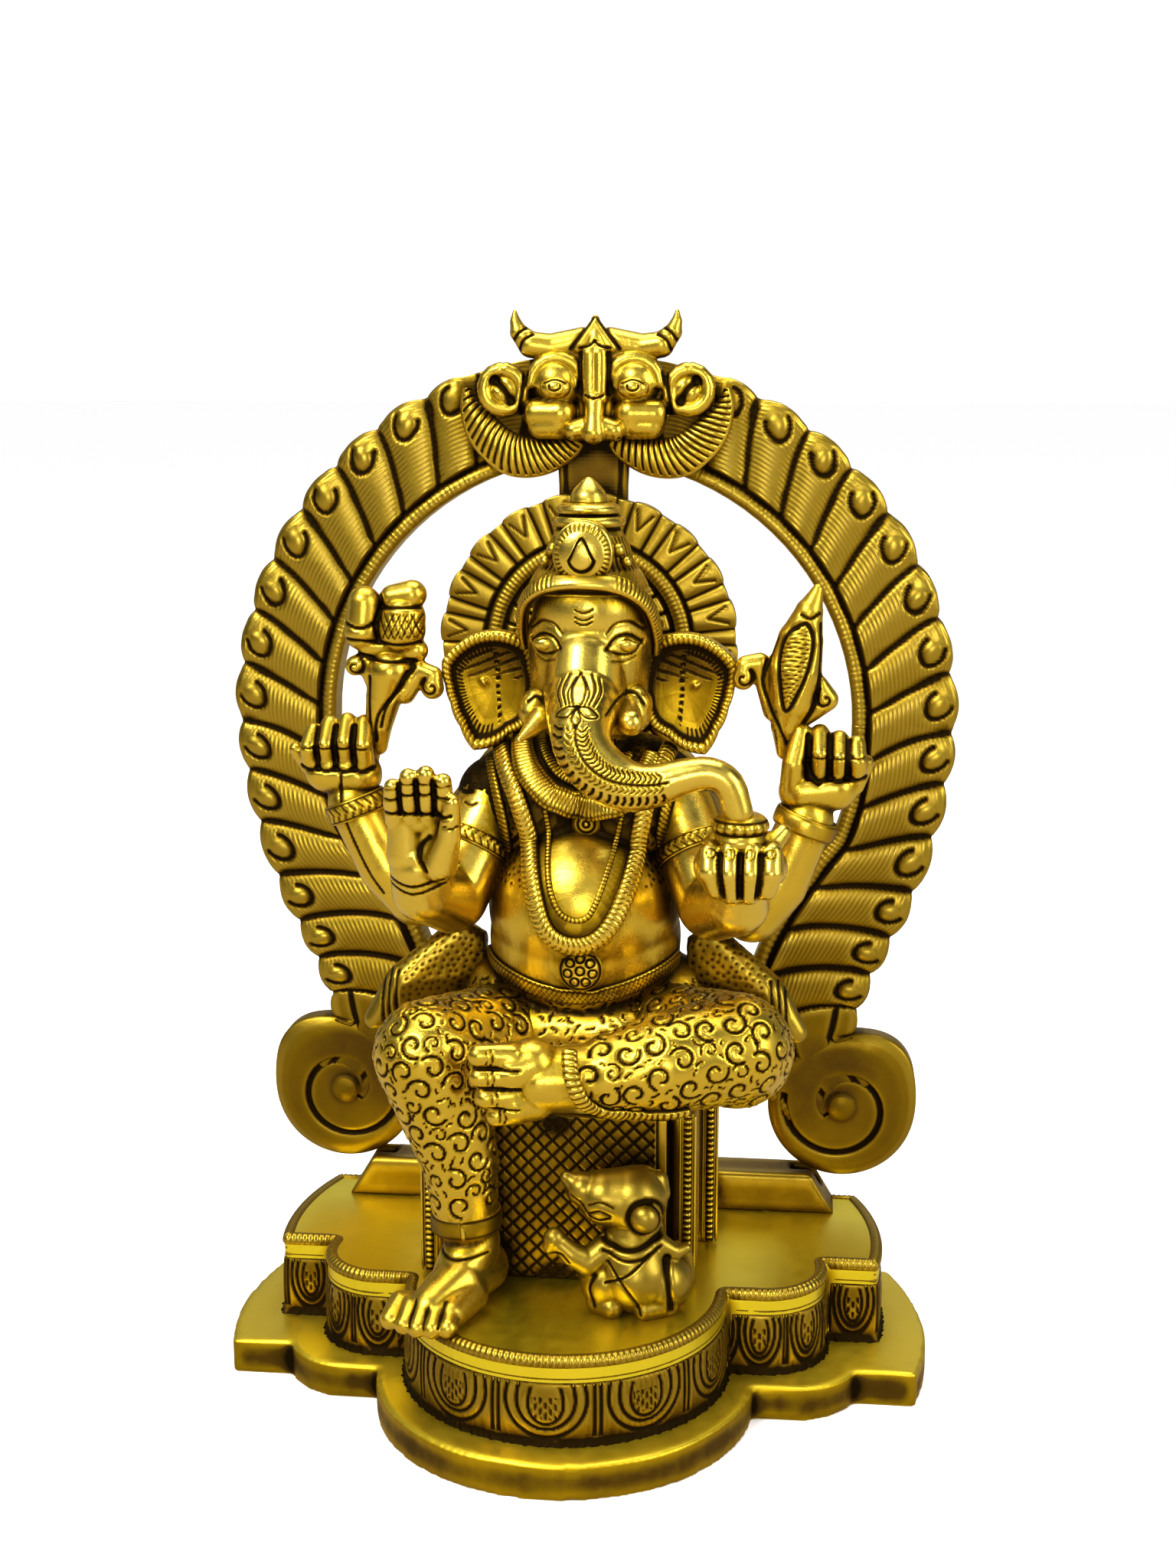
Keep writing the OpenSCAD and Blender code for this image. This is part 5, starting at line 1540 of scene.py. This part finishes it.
for k in range(6):
    x = -54.5 + 1.9 * k
    groove(axe, [(x, 129), (x + 3.4, 135.5)], 0.22, 0.25, 0.85)
    groove(axe, [(x + 1.6, 129), (x - 1.4, 135.5)], 0.22, 0.25, 0.85)
for cx, cz, hand in ((-63, 120.6, -1), (-41.6, 115.2, 1)):
    run = [(cx + hand * (0.5 + 0.45 * a) * math.sin(a), cz + (0.5 + 0.45 * a) * math.cos(a)) for a in np.linspace(0, 5.6, 9)]
    groove(axe, run, 0.45, 0.6)
settle_soot(axe, 0.9, 1.0, 0.05)
seat_finish(axe, aged_brass, "axe")

bud = body_of_balls("bud_skin", [
    [(55.5, -11, 99, 2.8), (55.6, -12, 106, 4.4), (56.6, -12, 113, 6.6), (57.4, -12, 121, 7.4), (58.8, -12, 129, 6.2),
     (61, -12, 137, 3.8), (63.2, -12, 143, 1.6)],
    [(52, -12, 110, 3.0), (49.6, -12, 117, 2.6), (48, -12, 123, 2.8), (44.2, -12.5, 122.4, 2.6), (43.6, -12.8, 118.6, 3.0)],
    [(59, -12, 108, 3.0), (62.6, -12, 110, 2.6), (66.2, -12.6, 113.4, 3.2), (64, -12.4, 117.6, 2.4)]], 0.48, 3)
panel = [(58.6, 134), (55.2, 131.6), (53.2, 126), (53.4, 118), (55.2, 110.6), (58.8, 116), (61.6, 123), (62.6, 130),
         (60.8, 134), (58.6, 134)]
groove(bud, panel, 0.65, 0.8)
for k in range(17):
    z = 113 + 1.2 * k
    left = np.interp(z, [110.6, 118, 126, 134], [55.4, 54.2, 54.0, 57.6])
    right = np.interp(z, [110.6, 116, 123, 130, 134], [55.6, 57.8, 60.6, 61.4, 60.0])
    groove(bud, [(left, z + 0.3), ((left + right) / 2, z + 0.7), (right, z)], 0.24, 0.3, 0.7)
groove(bud, [(56, 101), (51.6, 110), (49.0, 119), (52.5, 130)], 0.5, 0.6)
groove(bud, [(57, 101.5), (63.0, 112.5), (64.6, 124), (64.4, 134)], 0.5, 0.6)
groove(bud, [(59, 136.6), (61.4, 135.6), (64, 136.8)], 0.45, 0.5)
for cx, cz, hand in ((43.8, 119, -1), (65.8, 113.8, 1)):
    run = [(cx + hand * (0.5 + 0.45 * a) * math.sin(a), cz + (0.5 + 0.45 * a) * math.cos(a)) for a in np.linspace(0, 5.6, 9)]
    groove(bud, run, 0.45, 0.6)
settle_soot(bud, 0.9, 1.0, 0.05)
seat_finish(bud, aged_brass, "lotus_bud")

# %% Sashes
for side, node in ((-1, "sash_right"), (1, "sash_left")):
    sash = weld("sash_skin_" + node[5:], [blank_of(node, node + "_blank")], 0.55, 3)
    punch(sash, [(dot_mark, 0.7, 0.85)], lambda P, N: np.abs(P[:, 0]) < 51, 21, 0.25, 0.6)
    for dx in (52.5, 54.6, 56.4):
        groove(sash, [(side * dx, 34), (side * (dx + 0.6), 26), (side * dx, 16)], 0.4, 0.4)
    settle_soot(sash, 0.8, 1.0, 0.2)
    seat_finish(sash, dark_and_shaded_brass, node)

# %% [markdown]
# The throne is a box with a step at its back. Its front is a flat panel scribed with a
# diamond lattice, and a column of beads runs up each corner.

# %% Throne
work_from(0, 0, 0)
throne = weld("throne_skin", [blank_of("throne", "throne_blank")], 0.95, 2)
soot_and_shade_of(throne)
settle_soot(throne, 0.6, 1.0, 0.22)
seat_finish(throne, aged_brass, "throne")
low, high = (np.array(v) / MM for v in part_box("throne_panel"))
THRONE_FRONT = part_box("throne")[0].y / MM
print("panel box", low.round(1), high.round(1), "throne front", THRONE_FRONT)


def lattice(s, e, wide):
    a, b = (s + e) / 1.41421, (s - e) / 1.41421
    pitch = 3.2
    gap = np.minimum(np.abs((a + pitch / 2) % pitch - pitch / 2), np.abs((b + pitch / 2) % pitch - pitch / 2))
    inside = (e > 3.2) & (e < wide - 3.2)
    cut = np.exp(-(gap / 0.27) ** 2) * inside
    edge = np.exp(-((np.minimum(e, wide - e) - 2.6) / 0.3) ** 2)
    cut = np.maximum(cut, edge)
    return -0.38 * cut + 0.5, 0 * e, np.clip(cut + 0.30 * inside + 0.12, 0, 1)


middle = (low[0] + high[0]) / 2
panel = strip("throne_lattice", [(middle, 34.4, (high[0] - low[0]) / 2 + 1), (middle, 82.0, (high[0] - low[0]) / 2 + 1)],
              130, 160, THRONE_FRONT - 0.4, high[1] + 0.5, lattice)
seat_finish(panel, aged_brass, "throne_panel")
low, high = (np.array(v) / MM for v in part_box("throne"))


def beads(s, u, v):
    tooth = 0.5 - 0.5 * np.cos(s * 2 * math.pi / 1.7)
    return 0.8 * tooth ** 2, 0.8 * tooth ** 3


for k, (x, y) in enumerate(((-39.3, THRONE_FRONT - 0.2), (33.3, THRONE_FRONT - 0.2), (-44.1, 23.8), (38.1, 23.8))):
    column = strap("throne_beads_%d" % k, [(x, y, 34.5), (x, y, 84)], (0, -1, 0), 1.2, 1.1, beads, 0.3, 18)
    seat_finish(column, aged_brass)
    for dx in (-2.0, 2.0):
        seat_finish(strap("throne_fillet_%d_%d" % (k, dx), [(x + dx, y + 0.4, 34.5), (x + dx, y + 0.4, 84)],
                          (0, -1, 0), 0.45, 0.6, None, 1.2, 12), aged_brass)

# %% [markdown]
# A lion face crowns the arch: horns and a peaked crest above, two browed eyes, a flat nose
# that widens to three lobes, cupped ears, and whiskers that fan out in ribs over the arch.

# %% Lion mask
work_from(2.0, 0, 0)


def both(points):
    return [[tuple(p) for p in points], [(-p[0],) + tuple(p[1:]) for p in points]]


def arc_run(cx, cz, y, radius, start, end, r, count=9):
    return [(cx + radius * math.sin(a), y + 0.02 * abs(a), cz + radius * math.cos(a), r)
            for a in np.radians(np.linspace(start, end, count))]


groups = [[(-12, 52, 278, 4), (12, 52, 278, 4)], [(-10, 52, 288, 5), (10, 52, 288, 5)], [(0, 52, 270, 5), (0, 52, 290, 6)]]
groups += both([(-4, 50.5, 292.5, 4.0), (-13, 50, 290.8, 3.9), (-18.5, 49, 291.6, 3.7), (-21.8, 48.5, 295.0, 2.6),
                (-22.8, 48.5, 298.0, 1.6), (-23, 48.5, 300.8, 0.6)])
groups += both(arc_run(-11, 280.6, 47.4, 7.4, -85, 75, 1.9)) + both(arc_run(-11, 280.2, 46.6, 5.0, -85, 85, 1.35))
groups += both([(-16.5, 48.6, 272.5, 4.4), (-10, 48.0, 272.5, 4.8), (-10.5, 48.2, 269.5, 4.4), (-15.5, 48.6, 269.2, 4.0)])
groups += both([(-5.6, 45.0, 267.8, 3.0), (-3.0, 45.6, 268.4, 3.4)])
groups += [[(0, 43.6, 267.2, 3.3), (0, 44.6, 271.5, 2.8), (0, 46, 276, 3.0)], [(-1.3, 46.6, 277, 2.6), (-1.3, 46.6, 289, 2.9)],
           [(1.3, 46.6, 277, 2.6), (1.3, 46.6, 289, 2.9)], [(-4.2, 48.2, 291, 2.2), (0, 47.6, 297.5, 1.5), (4.2, 48.2, 291, 2.2)],
           [(0, 47.8, 291, 3.2), (0, 48, 298.6, 1.2)]]
groups += both(arc_run(-26.4, 279.2, 48.2, 5.6, 10, 350, 2.1, 15)) + both([(-26, 51, 279, 5.2), (-22, 51.5, 276, 4)])
groups += both([(-11.4, 50.6, 281.5, 7.0), (-10.6, 50.6, 279.5, 6.6)]) + [[(-2.6, 48.4, 290, 2.0), (-2.8, 48.4, 271, 2.4)], [(2.6, 48.4, 290, 2.0), (2.8, 48.4, 271, 2.4)]]
mask = body_of_balls("lion_face_skin", groups, 0.40, 2)
for side in (-1, 1):
    groove(mask, [(side * 17.6, 294.5), (side * 20.4, 292.6), (side * 21.8, 289.5)], 0.45, 0.5)
    groove(mask, [(side * 19.4, 296.4), (side * 21.8, 294.6), (side * 23.4, 292.4)], 0.45, 0.5)
    groove(mask, [(side * 0.4, 299.6), (side * 3.6, 295.2), (side * 6.8, 290.4)], 0.5, 0.6)
    groove(mask, [(side * 4.5, 290.6), (side * 1.6, 291.4), (0, 292.6)], 0.4, 0.5)
    groove(mask, [(side * 3.9, 289.5), (side * 4.2, 284), (side * 4.0, 278)], 0.55, 0.6)
    groove(mask, [(side * 2.6, 277.6), (side * 1.2, 277.0), (0, 276.8)], 0.4, 0.4)
    groove(mask, [(side * 7.4, 265.2), (side * 11, 263.8), (side * 17, 264.4), (side * 20.6, 269)], 0.7, 0.7)
    groove(mask, [(side * 20.8, 270), (side * 21, 276), (side * 19.6, 284)], 0.7, 0.8)
    groove(mask, [(side * 28.6, 281.6), (side * 26, 279.2), (side * 24, 275.8)], 1.3, 1.2)
P = spots(mask)
set_soot_and_shade(mask, np.maximum(soot_and_shade_of(mask), np.clip((P[:, 1] - 49.5) / 2.5, 0, 0.7)))
settle_soot(mask, 0.9, 1.0, 0.02)
seat_finish(mask, aged_brass, "lion_mask")
for side in (-1, 1):
    eye = weld("lion_eye_%d" % side, [lump((side * 11, 44.9, 279.6), 3.9, (1.15, 0.75, 0.8))], 0.25, 2)
    groove(eye, [(side * 11 - 3.2, 281.0), (side * 11, 282.0), (side * 11 + 3.2, 281.0)], 0.3, 0.3)
    run = [(side * 11 + 1.7 * math.sin(a), 280 + 1.2 * math.cos(a)) for a in np.linspace(1.2, 5.0, 7)]
    groove(eye, run, 0.3, 0.35)
    settle_soot(eye, 0.6)
    seat_finish(eye, aged_brass)


def whiskers(s, e, wide):
    tooth = (0.5 - 0.5 * np.cos((s + 0.35 * e) * 2 * math.pi / 1.9)) ** 3
    swell = bump_between(e, -0.5, wide + 0.5, 0.5)
    return 3.2 * swell - 0.5 * tooth * (wide - e > 0.9), 0 * e, 0.6 * tooth * (wide - e > 0.9)


for side in (-1, 1):
    fan = [(2 + side * x, z, h) for x, z, h in
           ((4.6, 265.0, 2.0), (8.6, 262.6, 3.8), (16, 260.0, 5.2), (23.5, 260.4, 5.9), (29.4, 264.0, 5.5), (33.6, 269.0, 4.7),
            (36.6, 274.6, 2.7), (37.2, 279.6, 0.9))]
    run = curve(fan, 8)
    if side > 0:
        run = run[::-1]
    piece = strip("whiskers_%s" % ("left" if side > 0 else "right"), run, 190, 40, 51.5, 55.5, whiskers)
    settle_soot(piece, 0.8)
    seat_finish(piece, aged_brass)
print("arms, throne and mask are done")

# %% [markdown]
# The mouse sits up in front of the throne with a sweet in its paws. It is the smallest
# casting and the softest: a wedge of a head, a round ear, a scarf crossed over the chest.

# %% Mouse
work_from(*SEAT)
mouse = body_of_balls("mouse_skin", [
    [(17, -42, -29, 8.4), (17, -43, -36, 10.4), (18, -44, -40, 10.9)], [(10.5, -45, -42.0, 8.0), (25, -44, -42.0, 8.4)],
    [(8.5, -48, -47, 3.8), (12, -51, -47.6, 3.0)], [(26.5, -47, -47, 4.0), (21, -51, -47.6, 3.0)],
    [(17, -42, -20.0, 9.3), (9.4, -43.5, -19.0, 7.6), (3.4, -44.5, -16.4, 4.6), (-1.0, -45, -13.2, 1.8)],
    [(19, -41, -16.2, 5.6), (8, -43, -15.8, 4.2)], [(23.4, -40, -15, 3.0), (23.6, -41, -18, 3.4)],
    [(12, -46, -31, 4.0), (5.5, -49, -35.5, 3.8), (1.2, -50, -33, 3.2), (-2.6, -50, -29.6, 2.6)],
    [(-3.6, -50, -28.6, 3.0), (-4.6, -50, -31, 2.2)],
    [(23.5, -45, -31, 3.6), (28.6, -45, -33.4, 2.2), (31.6, -44, -32.4, 1.5)],
    [(29.6, -40, -48.5, 2.0), (32.0, -39, -43, 1.9), (31.4, -40, -36, 1.8), (28.6, -42, -33, 1.7)],
    [(20.8, -49.2, -21.6, 4.6), (20.8, -49.6, -21.6, 4.4)]], 0.42, 4)
ear_line = [(20.8 + 4.6 * math.sin(a), -21.6 + 4.7 * math.cos(a)) for a in np.linspace(0, 2 * math.pi, 13)]
groove(mouse, ear_line, 0.6, 0.7)
for line, width, depth in (([(5.6, -21.4), (8.6, -20.2), (11.6, -21.6)], 0.35, 0.4), ([(5.8, -22.2), (8.6, -23.2), (11.4, -22.2)], 0.35, 0.4),
                           ([(5.6, -18.8), (9, -17.6), (12.4, -19)], 0.3, 0.25),
                           ([(8.5, -27.8), (13, -30.0), (19, -30.2), (25.4, -27.4)], 0.65, 0.9),
                           ([(9.5, -31.0), (15, -33.0), (20.5, -32.6), (25, -30.4)], 0.45, 0.5),
                           ([(22, -32), (16.6, -36.6), (10.6, -39.6)], 0.4, 0.45),
                           ([(11, -34), (15, -39), (18.6, -44), (20, -48)], 0.4, 0.45),
                           ([(26.6, -34), (27.4, -40), (28.2, -47.5)], 0.85, 1.1),
                           ([(7.6, -38), (6.0, -42), (7.4, -47)], 0.5, 0.5),
                           ([(-4.4, -32.6), (-1.6, -32), (0.6, -34.4)], 0.4, 0.4),
                           ([(0.6, -16.8), (3.6, -19), (6.0, -22.6)], 0.3, 0.25)):
    groove(mouse, line, width, depth)
settle_soot(mouse, 0.8, 1.0, 0.03)
seat_finish(mouse, satin_brass, "mouse")

# %% Fixings
for node in ("tie_bolt", "arch_studs", "mouse_stud", "washers", "nuts", "mask_rivets"):
    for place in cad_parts[node].material_slots:
        place.material = plain_brass

# %% [markdown]
# Where pieces crowd each other, under the chin, behind the arms and along the foot of the
# throne, less light reaches: this shade is painted into the colour, together with the grime
# of the joints. The skins are counted into a coarse grid, the grid is blurred, and a place
# that still finds much metal a few millimetres out from itself gets extra darkening.

# %% Painted shade and grime between the pieces
CELL = 1.0


def blurred(grid, sigma):
    reach = int(2.5 * sigma)
    weights = np.exp(-0.5 * (np.arange(-reach, reach + 1) / sigma) ** 2)
    weights /= weights.sum()
    for axis in range(3):
        grid = sum(w * np.roll(grid, k - reach, axis) for k, w in enumerate(weights))
    return grid


def crowd_shade_and_grime(pieces, gain=0.44):
    low = np.array(cad_box[0]) / MM - 12
    shape = tuple(np.ceil((np.array(cad_box[1]) / MM + 12 - low) / CELL).astype(int))
    grid = np.zeros(shape, np.float32)
    for ob in pieces:
        middles = np.empty(len(ob.data.polygons) * 3)
        areas = np.empty(len(ob.data.polygons))
        ob.data.polygons.foreach_get("center", middles)
        ob.data.polygons.foreach_get("area", areas)
        cell = ((middles.reshape(-1, 3) / MM - low) / CELL).astype(int)
        np.add.at(grid, tuple(cell.T), areas / MM ** 2)
    grid = blurred(grid, 2.4)
    for ob in pieces:
        out = spots(ob) + leaning(ob) * 3.2
        cell = np.clip(((out - low) / CELL).astype(int), 0, np.array(shape) - 1)
        crowd = grid[tuple(cell.T)]
        # This extra darkening is painted shade between crowded pieces, standing also for the grime of the joints; the
        # plate and the deck take only a little of it.
        extra = np.clip((crowd - 0.075) / 0.16, 0, 1) ** 1.2
        share = 0.12 if ob in (plate, deck) else 1.0
        set_soot_and_shade(ob, np.clip(soot_and_shade_of(ob) + gain * share * extra, 0, 1))
    print("shade_and_grime laid on", len(pieces), "pieces")


crowd_shade_and_grime(PIECES)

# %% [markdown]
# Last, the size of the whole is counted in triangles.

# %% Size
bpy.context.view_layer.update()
triangles = sum(len(p.vertices) - 2 for ob in PIECES for p in ob.data.polygons)
print("triangles", triangles, "largest", max(sum(len(p.vertices) - 2 for p in ob.data.polygons) for ob in PIECES))
